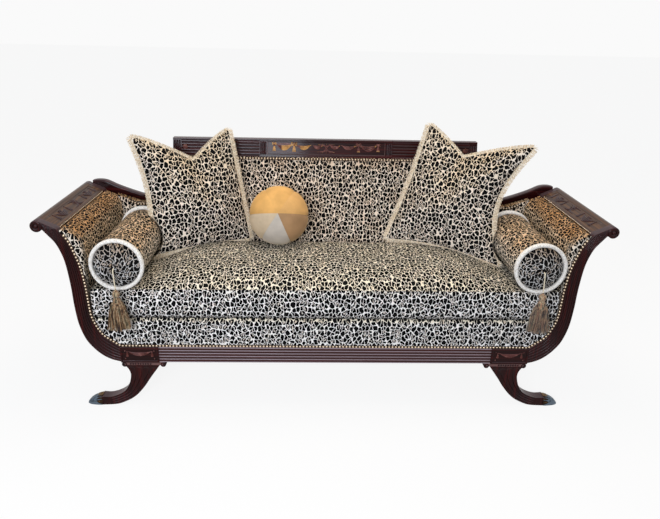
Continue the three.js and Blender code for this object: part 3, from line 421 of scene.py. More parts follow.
# %% The print
def leopard_print(node, cloth, pitch, stretch, seed, spread):
    """Nodes that give the ink from 0 to 1, and how open a rosette is."""
    cells_a_metre = (1000 / pitch, 1000 / pitch / stretch, 1)
    scaled = node("Mapping", {0: cloth, "Location": (seed, seed, 0), "Scale": cells_a_metre})
    wave = node("TexNoise", {"Vector": scaled, "Scale": 1.1, "Detail": 1.0}, noise_dimensions="2D").outputs["Color"]
    wave = node("VectorMath", {0: wave, 1: (0.5, 0.5, 0.5)}, operation="SUBTRACT")
    bent = node("VectorMath", {0: wave, 1: (0.8, 0.8, 0), 2: scaled}, operation="MULTIPLY_ADD")
    points = {"Vector": bent, "Scale": 1.0, "Randomness": 0.95}
    edge = node("TexVoronoi", points, voronoi_dimensions="2D", feature="DISTANCE_TO_EDGE").outputs["Distance"]
    cell = node("TexVoronoi", points, voronoi_dimensions="2D", feature="F1").outputs
    chance = node("SeparateColor", {0: cell["Color"]}).outputs
    outwards = node("VectorMath", {0: bent, 1: cell["Position"]}, operation="SUBTRACT")
    tilt = node("MapRange", {0: chance[2], 3: -1.2, 4: 1.2})
    turned_off = node("VectorRotate", {"Vector": outwards, "Angle": tilt}, rotation_type="Z_AXIS")
    oval = node("VectorMath", {0: turned_off, 1: (1.25, 1.0, 0.0)}, operation="MULTIPLY")
    far = node("VectorMath", {0: oval}, operation="LENGTH").outputs["Value"]
    size = node("MapRange", {0: chance[0], 3: 0.64 + spread, 4: 0.84 + spread})
    reach = node("Math", {0: far, 1: size}, operation="DIVIDE")
    reach = node("Math", {0: reach, 1: 2.0}, operation="POWER")
    squeeze = node("Math", {0: 0.052, 1: edge}, operation="DIVIDE")
    squeeze = node("Math", {0: squeeze, 1: 2.0}, operation="POWER")
    ragged = node("TexNoise", {"Vector": scaled, "Scale": 2.2, "Detail": 1.0}, noise_dimensions="2D")
    torn = node("Math", {0: ragged, 1: -1.1, 2: reach}, operation="MULTIPLY_ADD")
    torn = node("Math", {0: torn, 1: squeeze}, operation="ADD")
    spot = node("MapRange", {0: torn, 1: 0.55, 2: 0.35})
    heart = node("MapRange", {0: far, 1: 0.21, 2: 0.13})
    flip = node("Math", {0: chance[0], 1: 0.5}, operation="GREATER_THAN")
    flip = node("MapRange", {0: flip, 3: -1.0, 4: 1.0})
    part = node("SeparateXYZ", {0: oval}).outputs
    forward = node("Math", {0: part[1], 1: flip}, operation="MULTIPLY")
    forward = node("MapRange", {0: forward, 1: 0.0, 2: 0.05})
    slit = node("Math", {0: part[0]}, operation="ABSOLUTE")
    slit = node("MapRange", {0: slit, 1: 0.12, 2: 0.06})
    slit = node("Math", {0: slit, 1: forward}, operation="MULTIPLY")
    opened = node("Math", {0: slit, 1: heart}, operation="MAXIMUM")
    rosette = node("Math", {0: chance[1], 1: 0.62}, operation="GREATER_THAN")
    opened = node("Math", {0: opened, 1: rosette}, operation="MULTIPLY")
    closed = node("Math", {0: 1.0, 1: opened}, operation="SUBTRACT")
    return node("Math", {0: spot, 1: closed}, operation="MULTIPLY"), opened


print("a print of about 15 mm from spot to spot")

# %% [markdown]
# Light from above is painted into the ground: it turns brown-gold with the surface's own upward
# slope, a painted top light. The pile itself is a fine noise, 1.5 mm from tuft to tuft, that lightens
# and lifts it. Each of the sofa's covers is a cut of its own, with its own place in the print, and with
# ground colours set lighter or darker for the light on its part: lit and shaded copies of one cloth.


# %% Velvet
def spotted_velvet(name, seed, ivory, top_light_tone, spread, pitch=14.5, stretch=1.35):
    """The printed velvet. The spots are pitch mm apart, and spread makes them larger."""
    made, node = new_material(name)
    cloth = node("UVMap", uv_map="cloth")
    ink, opened = leopard_print(node, cloth, pitch, stretch, seed, spread)
    # Painted top light: the ground turns warm and golden where the surface faces up.
    upward = node("SeparateXYZ", {0: node("NewGeometry").outputs["Normal"]}).outputs[2]
    upward = node("MapRange", {0: upward, 1: 0.02, 2: 0.7, 4: 0.9})
    cloudy = node("TexNoise", {"Vector": cloth, "Scale": 14.0, "Detail": 3.0}, noise_dimensions="2D")
    patch = node("MapRange", {0: cloudy, 1: 0.35, 2: 0.7, 3: -0.1, 4: 0.18})
    tone = node("Math", {0: upward, 1: patch}, operation="ADD", use_clamp=True)
    within = node("Math", {0: opened, 1: 0.45}, operation="MULTIPLY")
    colour = linear(ivory)
    for share, over in ((tone, top_light_tone), (within, "#a98a62"), (ink, "#070606")):
        colour = node("Mix", {0: share, 6: colour, 7: linear(over)}, data_type="RGBA")
    pile = node("TexNoise", {"Vector": cloth, "Scale": 700.0, "Detail": 2.0}, noise_dimensions="2D")
    fleck = node("MapRange", {0: pile, 1: 0.3, 2: 0.7, 3: 0.88, 4: 1.06})
    colour = node("VectorMath", {0: colour, "Scale": fleck}, operation="SCALE")
    bump = node("Bump", {"Height": pile, "Strength": 0.25, "Distance": 0.0006})
    velvet = {"Base Color": colour, "Roughness": 0.85, "Specular IOR Level": 0.08, "Normal": bump}
    sheen = {"Sheen Weight": 0.03, "Sheen Roughness": 0.45, "Sheen Tint": linear("#fff1da")}
    node("OutputMaterial", {"Surface": node("BsdfPrincipled", velvet | sheen)})
    return made


# Each cut's ivory and golden are set for the light on its part: painted light and shade.
cover_velvet = spotted_velvet("spotted_velvet", 0.0, "#f4e8d6", "#bd9468", 0.08)
arm_velvet = spotted_velvet("spotted_velvet_arms", 6.4, "#f6dcb8", "#d09c66", 0.1)
seat_velvet = spotted_velvet("spotted_velvet_seat", 3.7, "#f8f5f0", "#efe4cc", 0.13)
pillow_velvet = spotted_velvet("spotted_velvet_pillows", 8.1, "#f2e7d8", "#dfcaaa", 0.13, 15.5, 1.25)
roll_velvet = spotted_velvet("spotted_velvet_bolsters", 5.3, "#fbecd6", "#e4c096", 0.03)
end_velvet = spotted_velvet("spotted_velvet_bolster_ends", 2.1, "#cfcecb", "#a8927c", 0.3, 15.0)
print("six cuts of the same cloth")

# %% [markdown]
# ## Trims, threads and metal
#
# The fringe and the thick edge of the bolsters are cream cotton, the tassels are rayon threads of
# brown, cream, rose and olive. Each of them is a fibre, so it has no mirror shine, and the colour
# changes from thread to thread. Cotton is told apart by its matt, dry surface, rayon by a soft gleam.


# %% Threads
def thread(name, colours, scale, roughness=0.85, sheen=0.2):
    """A fibre finish: colours mixed from thread to thread, by a noise of that many cells a metre."""
    made, node = new_material(name)
    place = node("Mapping", {0: node("TexCoord").outputs["Object"], "Scale": scale})
    strands = node("TexNoise", {"Vector": place, "Scale": 1.0, "Detail": 3.0})
    mix = node("ValToRGB", {0: strands})
    low, span, last = 0.41, 0.18, len(colours) - 1
    colour_stops(mix, [(low + span * number / last, colour) for number, colour in enumerate(colours)])
    bump = node("Bump", {"Height": strands, "Strength": 0.5, "Distance": 0.0006})
    fibre = {"Base Color": mix, "Roughness": roughness, "Sheen Weight": sheen, "Specular IOR Level": 0.25}
    node("OutputMaterial", {"Surface": node("BsdfPrincipled", fibre | {"Normal": bump})})
    return made


cream_cotton = thread("cream_cotton_fringe", ["#c9b08c", "#ead9bb", "#f8efdc"], (300, 300, 120))
edge_cotton = thread("brushed_white_cotton_edge", ["#d8d0c2", "#efeae0", "#fbf8f2"], (300,) * 3)
cream_cord = thread("cream_twisted_cord", ["#c8b48c", "#ecdfc2", "#f6eedb"], (700,) * 3)
tassel_looks = {
    side_name: thread(name, colours, (130, 130, 9), 0.6, 0.3)
    for side_name, name, colours in (
        ("left", "tassel_threads_brown", ["#2a1810", "#a8845c", "#5c3420", "#ccb48e", "#4e4632"]),
        ("right", "tassel_threads_rose", ["#2e1c14", "#b49470", "#84503e", "#ccb894", "#565040"]),
    )
}
jute_look = thread("jute_webbing", ["#7d6a44", "#a88f63", "#c4ad80"], (400,) * 3, 0.95, 0.0)
lining_look = thread("black_cambric_lining", ["#121110", "#1c1b1a", "#2a2826"], (600,) * 3, 0.95, 0.05)
tape_look = thread("dark_gimp_tape", ["#1d120c", "#33231a", "#46321f"], (500,) * 3, 0.8, 0.1)
print("eight threads")

# %% [markdown]
# The metals are old ones. A noise lays their patina on in patches, and it is thicker in hollows, so
# the pointiness of the mesh moves the patches' edge. Where the patina lies, the metal is duller too.


# %% Metals
def worn_metal(name, bright, dull, roughness, scale):
    """A metal whose patina gathers by a noise of that many cells a metre, and in its hollows."""
    made, node = new_material(name)
    cloud = node("TexNoise", {"Vector": node("TexCoord").outputs["Object"], "Scale": scale, "Detail": 5.0})
    pointed = node("NewGeometry").outputs["Pointiness"]
    hollow = node("MapRange", {0: pointed, 1: 0.45, 2: 0.55, 3: 0.25, 4: -0.25})
    amount = node("Math", {0: cloud, 1: hollow}, operation="ADD")
    amount = node("MapRange", {0: amount, 1: 0.35, 2: 0.65})
    colour = node("Mix", {0: amount, 6: linear(bright), 7: linear(dull)}, data_type="RGBA")
    rough = node("MapRange", {0: amount, 3: roughness, 4: roughness + 0.25})
    bump = node("Bump", {"Height": cloud, "Strength": 0.15, "Distance": 0.0005})
    metal = {"Base Color": colour, "Metallic": 1.0, "Roughness": rough, "Normal": bump}
    node("OutputMaterial", {"Surface": node("BsdfPrincipled", metal)})
    return made


nail_brass = worn_metal("antique_brass_nails", "#d6c2a8", "#8f7a58", 0.3, 400.0)
toe_metal = worn_metal("cast_toe_cap_blue_grey", "#5c6874", "#262c34", 0.4, 90.0)
toe_gilt = worn_metal("cast_leaf_edge_old_gold", "#6e5434", "#2c2018", 0.4, 120.0)
spring_wire = worn_metal("spring_steel_wire", "#a4a8ac", "#6c6f72", 0.35, 80.0)
print("four metals")

# %% [markdown]
# ## The arms' lines
#
# Seen from the front, each arm is an S that rises from the seat rail and curls over in a scroll. Its
# outer and inner edges are smooth lines through a dozen points, the same ones as in the CAD source,
# given as shares of the arm's reach and rise. The padding stands inside the inner edge by a swell of
# its own, and a sloping tablet closes the arm's top.

# %% Lines of the arm
gap = 0.3
frame_bottom, rail_height, seat_height = 196, 66, 384.7
rail_top = frame_bottom + rail_height
block_inner, block_width = 655, 148
block_outer = block_inner + block_width
arm_reach, arm_rise, scroll_radius, facing_thickness = 277, 575, 22, 35
arm_outer_shares = [
    [0, 0], [0.13, 0.018], [0.25, 0.051], [0.365, 0.105], [0.46, 0.175], [0.53, 0.285],
    [0.56, 0.42], [0.572, 0.56], [0.6, 0.7], [0.638, 0.782], [0.7, 0.853], [0.785, 0.905],
]
arm_inner_shares = [
    [0, 0.115], [0.13, 0.16], [0.225, 0.197], [0.3, 0.255], [0.365, 0.34], [0.385, 0.45],
    [0.4, 0.57], [0.44, 0.7], [0.495, 0.79], [0.535, 0.845], [0.58, 0.888], [0.664, 0.948],
]
arm_swell = [[0, 0.2], [0.53, 0.2], [0.63, 0.35], [0.7, 0.5], [0.8, 0.84], [0.87, 1], [0.92, 0.85], [1, 0.1]]
swell_depth, arm_steps = 42, 96
arm_start, arm_size = [block_outer, frame_bottom], [arm_reach, arm_rise]
scroll = np.array([block_outer + arm_reach - scroll_radius, frame_bottom + arm_rise - scroll_radius])
arm_outer = [*(np.array(arm_outer_shares) * arm_size + arm_start), circle(scroll, scroll_radius, -150)]
arm_outer = smooth_line(arm_outer, arm_steps + 1)
arm_inner = smooth_line(np.array(arm_inner_shares) * arm_size + arm_start, arm_steps + 1)
arm_outer[0, 0] += gap
arm_inner[0, 0] += gap
pad_swell = swell_depth * np.interp(np.linspace(0, 1, arm_steps + 1), *np.array(arm_swell).T)
arm_pad = offset_line(arm_inner, pad_swell)
arm_head = arm_inner[-1]
tablet_slope = 23.6
tablet_start, slope_turn = 90 + tablet_slope, math.radians(tablet_slope)
tablet_down = np.array([math.sin(slope_turn), -math.cos(slope_turn)])
tablet_along = np.array([math.cos(slope_turn), math.sin(slope_turn)])


def pad_reach(height):
    """How far out the arm's padding stands at a height."""
    return np.interp(height, arm_pad[:, 1], arm_pad[:, 0])


def clear_above(height):
    """How far out one gets before the arm's padding, from a height upwards."""
    return min(pad_reach(height), arm_pad[arm_pad[:, 1] >= height, 0].min())


print("the arm's inner edge is", round(lengths(arm_inner)[-1]), "mm long")

# %% [markdown]
# ## Reeds and scrolls
#
# A reed is a half-round ridge, and between two reeds lies a sharp groove. A strip of them is made from
# one section that runs along the arm, closer together where the arm is narrow. The scroll at its end
# is turned: a small profile is spun about the scroll's middle, which gives the eye, the groove round
# it and the rim. The rear posts have the facings' outline, but plain: nobody dresses wood that faces
# the wall. Their soft arris comes from a Bevel modifier, since a sharp edge on polished wood looks
# like paper.


# %% Reeded facings and rear posts
def half_round(part):
    """The height of a round ridge of height 1, for a share of the way across it."""
    return np.sqrt(np.clip(1 - (2 * part - 1) ** 2, 0, 1))


def reeds(count, depth, margin=0.0, cells=8):
    """Shares across a strip and how deep its front lies there: half-round reeds with sharp grooves."""
    swing = (1 - np.cos(np.pi * np.arange(cells) / cells)) / 2
    inside = np.concatenate([*[(k + swing) / count for k in range(count)], [1.0]])
    return margin + (1 - 2 * margin) * inside, depth * (1 - half_round((inside * count) % 1))


def strip(bm, outer, inner, shares, sunk, front, back, side=1, rear=False):
    """Skins a strip between two lines. Its front lies at front + sunk, one depth for each share."""
    face = outer[:, None] + (inner - outer)[:, None] * shares[None, :, None]
    hind = [on_face(line, back, side, rear)[:, None] for line in (inner, outer)]
    skin(bm, np.concatenate([on_face(face, front + sunk, side, rear), *hind], axis=1))


def turned(bm, profile, middle, steps=40):
    """Spins a profile of points round an axis through the middle, from front to back."""
    start = [bm.verts.new(Vector(point)) for point in profile]
    edges = [bm.edges.new(pair) for pair in zip(start, start[1:])]
    spin = {"cent": Vector(middle), "axis": (0, 1, 0), "angle": 2 * math.pi, "steps": steps, "use_merge": True}
    bmesh.ops.spin(bm, geom=[*start, *edges], **spin)


volute_shares = [
    [0, -0.16], [0.12, -0.15], [0.22, -0.1], [0.3, 0.02], [0.34, 0.12], [0.4, 0.12], [0.46, 0.0],
    [0.55, -0.06], [0.8, -0.06], [0.92, 0.0], [1, 0.12],
]


def volute(bm, middle, radius, front, back, side=1, rear=False):
    """A scroll's face: a domed eye, a groove, a rim, and a plain round body behind them."""
    x, z = middle
    profile = [at(x + r * radius, front + y * radius, z, side, rear) for r, y in volute_shares]
    profile += [at(x + radius, back, z, side, rear), at(x, back, z, side, rear)]
    turned(bm, profile, at(x, 0, z, side, rear))


outer_curl = circle(scroll, scroll_radius - 0.5, np.linspace(210, 172, 8))
inner_curl = arm_head + (circle(scroll, scroll_radius, tablet_start) - arm_head) * np.linspace(0, 1, 8)[:, None]
crest_front = arm_depth - 25
post_front = crest_front - facing_thickness
plain = (np.linspace(0, 1, 5), 0)
for side_name, side in sides:
    for name, (shares, sunk), front, back, eye, hind, stands_for, bevel in (
        ("reeded_facing", reeds(6, 3), 0, facing_thickness, 0, facing_thickness, "arm_facing", 0),
        ("rear_post", plain, post_front, crest_front, crest_front, post_front, "arm_post_rear", 0.8),
    ):
        shape = bmesh.new()
        strip(shape, arm_outer, arm_inner, shares, sunk, front, back, side)
        strip(shape, outer_curl, inner_curl, shares, sunk, front, back, side)
        volute(shape, scroll, scroll_radius, eye, hind, side)
        new_piece(f"{name}_{side_name}", shape, [wood_upright], f"{stands_for}_{side_name}", bevel=bevel)

# %% [markdown]
# ## Carved tablets
#
# A sloping tablet closes each arm. Its top is a sunk field with a flat margin, wider at the front, and
# its outer side rolls over with the scroll. The section is drawn once and repeated along the arm, and
# the field is simply where the top goes down by two millimetres.

# %% Tablets
field_shares = np.array([0, 0.07, 0.13, 0.16, 0.3, 0.5, 0.7, 0.84, 0.87, 0.93, 1])
field_sunk = np.where((field_shares > 0.14) & (field_shares < 0.86), 2.0, 0.0)
field_front, field_back = 80, 536
tablet_front, tablet_back = facing_thickness + gap, post_front - gap
margins = [tablet_front, 62, field_front - 2], [field_back + 2, tablet_back]
roll_arc = circle(scroll, scroll_radius, np.linspace(tablet_start, -150, 27))
tablet_width = np.linalg.norm(roll_arc[0] - arm_head)
heel = arm_head + tablet_down * 14
under = heel + tablet_along * (roll_arc[-1, 0] - heel[0]) / tablet_along[0]
hidden_side = np.concatenate([roll_arc[1:], [under, heel]])


def on_tablet(along, across_it, height, side):
    """A place on a tablet: along the arm, across from its inner edge, and up from its top."""
    place = arm_head + tablet_along * np.asarray(across_it)[..., None] - tablet_down * np.asarray(height)[..., None]
    return on_face(place, along, side)


for side_name, side in sides:
    shape = bmesh.new()
    sections = []
    for station in [*margins[0], field_front, 130, 300, 460, field_back, *margins[1]]:
        sunk = field_sunk * (field_front <= station <= field_back)
        top = on_tablet(station, field_shares * tablet_width, -sunk, side)
        sections.append(np.concatenate([top, on_face(hidden_side, station, side)]))
    skin(shape, sections)
    new_piece(f"tablet_{side_name}", shape, [tablet_wood], f"arm_tablet_{side_name}", bevel=0.7)

# %% [markdown]
# ## Seat rails, leg blocks and legs
#
# The front rail carries the seat, and its face is cut into five reeds from block to block. It could be
# five round rods side by side, but real reeds are planed from one board, so it is one strip with
# grooves, and a narrow flat stays along its top and bottom edge.

# %% Front rail
rail_end = block_inner - gap
shape = bmesh.new()
shares, sunk = reeds(5, 3, margin=0.03)
lower = np.array([[-rail_end, frame_bottom], [rail_end, frame_bottom]])
fillet = 0.4
shares, sunk = np.concatenate([[0], shares, [1]]), np.concatenate([[fillet], sunk, [fillet]])
strip(shape, lower, lower + [0, rail_height], shares, sunk, 0, 30)
new_piece("reeded_rail_front", shape, [rail_wood], "front_rail")

# %% [markdown]
# A leg block is the square joint where rail, leg and arm meet, with a sunk panel in its face. It is a
# real cube, because the inset operator then cuts the panel: the first inset leaves the border, the
# second one sinks the panel with a sloping edge. All four are alike, and the rear ones face back.


# %% Leg blocks
def block_box(bm, low, high, side, rear):
    """A cube operator's box between two corners of the drawing."""
    for corner in bmesh.ops.create_cube(bm, size=1)["verts"]:
        place = np.array(low) + (np.array(corner.co) + 0.5) * (np.array(high) - np.array(low))
        corner.co = Vector(at(*place, side, rear))
    bmesh.ops.recalc_face_normals(bm, faces=bm.faces)


four_legs = [(f"{place}_{name}", side, place == "rear") for place in ("front", "rear") for name, side in sides]
for leg_name, side, rear in four_legs:
    shape = bmesh.new()
    block_box(shape, (block_inner, -5, frame_bottom), (block_outer, 70, rail_top), side, rear)
    facing = min(shape.faces, key=lambda face: face.calc_center_median().y * (-1 if rear else 1))
    bmesh.ops.inset_region(shape, faces=[facing], thickness=0.009)
    bmesh.ops.inset_region(shape, faces=[facing], thickness=0.002, depth=-0.003)
    new_piece(f"panelled_block_{leg_name}", shape, [wood_across], f"leg_block_{leg_name}", bevel=0.8)

# %% [markdown]
# A sabre leg sweeps out like the blade it is named for. Four flutes run down its face: they are
# hollows, so their section is the reeds' turned over. Each starts with a round head under the block
# and dies out above the toe. Two small scrolls stand at the corners, with a row of beads between them,
# and the toe wears a metal cap.

# %% Sabre legs
leg_thickness, leg_reach, cap_start, leg_steps = 42, 302, 0.8, 57
leg_outer_shares = [
    [0.45, 0.93], [0.405, 0.83], [0.386, 0.72], [0.4, 0.58], [0.438, 0.43], [0.5, 0.31],
    [0.6, 0.225], [0.7, 0.185], [cap_start, 0.193],
]
leg_inner_shares = [
    [0, 0.93], [0.06, 0.8], [0.136, 0.633], [0.205, 0.469], [0.291, 0.301], [0.371, 0.186],
    [0.47, 0.095], [0.6, 0.02], [cap_start, 0],
]
leg_outer, leg_inner = (
    smooth_line(np.array(shares) * [leg_reach, frame_bottom] + [block_inner, 0], leg_steps)
    for shares in (leg_outer_shares, leg_inner_shares)
)
leg_inner[:, 1] = np.maximum(leg_inner[:, 1], 0)
leg_top, ear_radius = frame_bottom - gap, 11
ears = [(block_inner - 24 + ear_radius, leg_top - ear_radius), (block_outer - ear_radius, leg_top - ear_radius)]
flute_count, flute_depth = 4, 4.0
flute_shares = np.linspace(0, 1, flute_count * 12 + 1)
flute_part = (flute_shares * flute_count) % 1
hollow = half_round(flute_part) * (np.abs(2 * flute_part - 1) < 0.86)
leg_place = np.linspace(0, 1, leg_steps)[:, None]
head = smooth(0.03, 0.07, leg_place - 0.035 * (1 - hollow)[None])
flutes = flute_depth * hollow[None] * head * (1 - smooth(0.72, 0.9, leg_place))
bead_count, bead_pitch, bead_radius, bead_out = 9, 9.6, 4.3, 2.6
first_bead, bead_height, bead_swing = block_inner + 36, leg_top - 7.5, np.linspace(0, 1.6, 6)
bead_across, bead_forward = bead_radius * np.sin(bead_swing), -bead_out * np.cos(bead_swing)
for leg_name, side, rear in four_legs:
    shape = bmesh.new()
    strip(shape, leg_outer, leg_inner, flute_shares, flutes, 0, leg_thickness, side, rear)
    block_box(shape, (ears[0][0], 0, leg_top - 13), (ears[1][0], leg_thickness, leg_top), side, rear)
    for ear in ears:
        volute(shape, ear, ear_radius, 0, leg_thickness, side, rear)
    for bead in first_bead + bead_pitch * np.arange(bead_count):
        profile = at(bead + bead_across, bead_forward, bead_height, side, rear)
        turned(shape, profile, at(bead, 0, bead_height, side, rear), 12)
    new_piece(f"sabre_leg_{leg_name}", shape, [wood_upright], f"leg_{leg_name}")

# %% [markdown]
# ## Toe caps
#
# A toe cap is cast to the leg's end: rounded sections shrink to the tip, flat underneath. Its open end
# is dressed with a row of small leaves. Each leaf is a short ribbon that lies over the edge.

# %% Toe caps
cap_along, cap_wide, cap_high = np.array([
    [0, 1, 1], [0.12, 1.0, 0.99], [0.3, 0.97, 0.92], [0.45, 0.93, 0.83], [0.6, 0.86, 0.72],
    [0.75, 0.76, 0.56], [0.85, 0.62, 0.42], [0.93, 0.48, 0.28], [0.98, 0.36, 0.17], [1, 0.24, 0.1],
]).T
cap_length = leg_reach * (1 - cap_start)
cap_wall, leaf_start, leaf_end, leaf_half, leaf_lift, vein_deep = 1.5, -0.05, 0.34, 11.5, 1.9, 0.9
cap_height, cap_half = frame_bottom * 0.193 + cap_wall, leg_thickness / 2 + cap_wall


def on_cap(along, turn, lift=0.0):
    """A place on the cap's skin: a share of its length, degrees over its top, and a lift in mm."""
    wide, high = (np.interp(along, cap_along, column) for column in (cap_wide, cap_high))
    part = circle((0, 0), 1, turn)
    part = np.sign(part) * np.abs(part) ** 0.55
    x = block_inner + leg_reach - cap_length * (1 - along)
    y = leg_thickness / 2 + part[..., 0] * (cap_half * wide + lift)
    return x, y, part[..., 1] * (cap_height * high + lift)


for leg_name, side, rear in four_legs:
    shape = bmesh.new()
    skin(shape, [at(*on_cap(along, np.linspace(0, 180, 25)), side, rear) for along in cap_along])
    cap_faces = len(shape.faces)
    for middle in 12 + 26 * np.arange(7):
        spread = np.linspace(-1, 1, 7)
        rows = []
        for along in np.linspace(leaf_start, leaf_end, 7):
            tapered = 1 - max(0, (along - leaf_start) / (leaf_end - leaf_start)) ** 2.2
            leaf = leaf_half * math.sqrt(max(0.02, tapered))
            arched = leaf_lift * (1 - spread**2) ** 0.5 * (1 - 0.6 * max(along, 0) / leaf_end)
            lift = np.maximum(arched + 0.1 - vein_deep * np.exp(-((spread / 0.12) ** 2)), 0.1)
            rows.append(at(*on_cap(along, middle + spread * leaf, lift), side, rear))
        panel(shape, np.array(rows))
    second_look(shape, cap_faces)
    new_piece(f"cast_toe_cap_{leg_name}", shape, [toe_metal, toe_gilt], f"toe_cap_{leg_name}")

# %% [markdown]
# ## Crest and shoulder rails
#
# The crest rail leans back and carries the richest work: a sunk panel in the middle with a fluted
# square at each end, reeded flanks, and an end block. One section changes along its length, so the
# whole rail is a single skin, dense only where the flutes cross it.

# %% Crest rail
crest_bottom, crest_height, crest_thickness, crest_rake, crest_half = 893, 75, 34, 16, 675
panel_half, flute_block, end_block, panel_border, panel_sunk = 262, 34, 37, 11, 4
crest_low, crest_high, lip_up, flute_sunk, flute_half = 6, 69, 1.2, 2.6, 0.36


def on_crest(x, up, out):
    """A place on the crest's front: along the sofa, up from its underside, and out from its face."""
    y = crest_front + crest_rake * np.asarray(up, float) / crest_height - out
    return at(x, y, crest_bottom + up)


def crest_stations():
    """Where along the rail its section is drawn, and the work there."""
    stops = [(-crest_half, "plain")]
    for low, high, work, pitch in [
        (-crest_half + 3, -crest_half + end_block - 3, "fluted", 1.3),
        (-crest_half + end_block, -panel_half - flute_block, "reeded", 400),
        (-panel_half - flute_block + 2.5, -panel_half - 2.5, "fluted", 1.2),
        (-panel_half + 1, -panel_half + 1, "plain", 9),
        (-panel_half + 2.5, -1, "sunk", 400),
    ]:
        count = max(2, round((high - low) / pitch) + 1) if high > low else 1
        stops.append((low - 0.6, "plain"))
        stops += [(x, work) for x in np.linspace(low, high, count)]
        stops.append((high + 0.6, "plain" if work != "sunk" else "sunk"))
    return stops + [(-x, work) for x, work in reversed(stops)]


def worked(x, work, up):
    """How deep the work lies at a place along the rail, for heights over its front."""
    if work == "sunk":
        sunk = panel_sunk * smooth(panel_border - 1, panel_border + 1, up)
        return sunk * (1 - smooth(crest_height - panel_border - 1, crest_height - panel_border + 1, up))
    if work == "fluted":
        start, width = (crest_half - end_block, end_block) if abs(x) > 500 else (panel_half, flute_block)
        part = ((abs(x) - start - 3) / (width - 6) * 3) % 1
        hollow = math.sqrt(max(0, 1 - ((part - 0.5) / flute_half) ** 2))
        ends = 4 * (1 - hollow)
        return flute_sunk * hollow * smooth(9 + ends, 11 + ends, up) * (1 - smooth(62 - ends, 64 - ends, up))
    return np.concatenate([[0], reeds(5, 2.5)[1], [0, 0]]) if work == "reeded" else np.zeros(len(up))


up_face = reeds(5, 1)[0] * (crest_high - crest_low) + crest_low
up_face = np.concatenate([[0], up_face, [crest_height - 5, crest_height]])
lip = np.where(up_face > crest_height - 6, lip_up, 0)
crest_back = crest_front + crest_thickness
sections = []
for x, work in crest_stations():
    hind = at(x, [crest_back + crest_rake, crest_back], [crest_bottom + crest_height, crest_bottom])
    sections.append(np.concatenate([on_crest(x, up_face, lip - worked(x, work, up_face)), hind]))
shape = bmesh.new()
skin(shape, sections)
new_piece("carved_crest_rail", shape, [wood_across], "crest_rail", sharp=32, bevel=0.6)

# %% [markdown]
# A shoulder rail sweeps from the crest down to the arm, and its deeper end laps behind the rear post.
# A curve with a bevel gives one section all along. This one grows deeper towards its foot, so it is
# skinned: each point of the section, with its four rounded corners, is a line beside the first.

# %% Shoulder rails
shoulder_shares = [
    [0, 1], [0.011, 0.844], [0.049, 0.592], [0.123, 0.285], [0.232, 0.078], [0.383, 0],
    [0.484, 0.05], [0.596, 0.128], [0.716, 0.223], [0.836, 0.335], [0.934, 0.358], [1, 0.335],
]
shoulder_wide, shoulder_deep, shoulder_round = 28, 35, 7
crest_seat = crest_bottom - gap
shoulder_low, shoulder_end = frame_bottom + arm_rise - 57, block_outer + arm_reach - 39
shoulder_size = [shoulder_end - crest_half, crest_seat - shoulder_low]
shoulder_line = smooth_line(np.array(shoulder_shares) * shoulder_size + [crest_half, shoulder_low], 81)
shoulder_under = offset_line(shoulder_line, -shoulder_wide - gap)
corner = shoulder_round * (1 - circle((0, 0), 1, np.linspace(0, 90, 5)))
near, far = corner.T
bottom, top = shoulder_wide - corner.T
corners = [(bottom, shoulder_deep - far), (far, shoulder_deep - near), (near, far), (top, near)]
ring = np.concatenate([np.stack(pair, axis=1) for pair in corners])
sections = np.array([offset_line(shoulder_line, -down) for down in ring[:, 0]]).transpose(1, 0, 2)
sections[..., 1] = np.minimum(sections[..., 1], crest_seat)
foot = smooth(880, 940, sections[..., 0]) * np.maximum(sections[..., 1] - 700, 0)
sections[..., 1] -= foot * (ring[:, 0] / shoulder_wide) ** 2
sections[0, :, 1] = crest_seat
for side_name, side in sides:
    shape = bmesh.new()
    skin(shape, on_face(sections, crest_front + gap + ring[:, 1], side))
    new_piece(f"swept_shoulder_{side_name}", shape, [wood_across], f"shoulder_rail_{side_name}")

# %% [markdown]
# The inner rails and the springs keep their CAD solids, since their shapes are right: they only get
# their bare wood and steel.

# %% Inner rails and springs
kept_solids = {"back_rail": wood_across, "seat_springs": spring_wire}
kept_solids |= dict.fromkeys(("side_rail_left", "side_rail_right", "center_stretcher"), inner_wood)
for node_name, look in kept_solids.items():
    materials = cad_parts[node_name].data.materials
    materials.clear()
    materials.append(look)
print(len(kept_solids), "CAD solids keep their shapes")

# %% [markdown]
# ## Tight upholstery
#
# The covers are cut in panels and pulled over padding. The arm's padding is a closed roll behind the
# facing, and a strip of cloth wraps its front edge round to the wood. The UV maps are the cuts of the
# cloth: the arm's is the way along its line and from front to back, the strip's lies flat at the front.

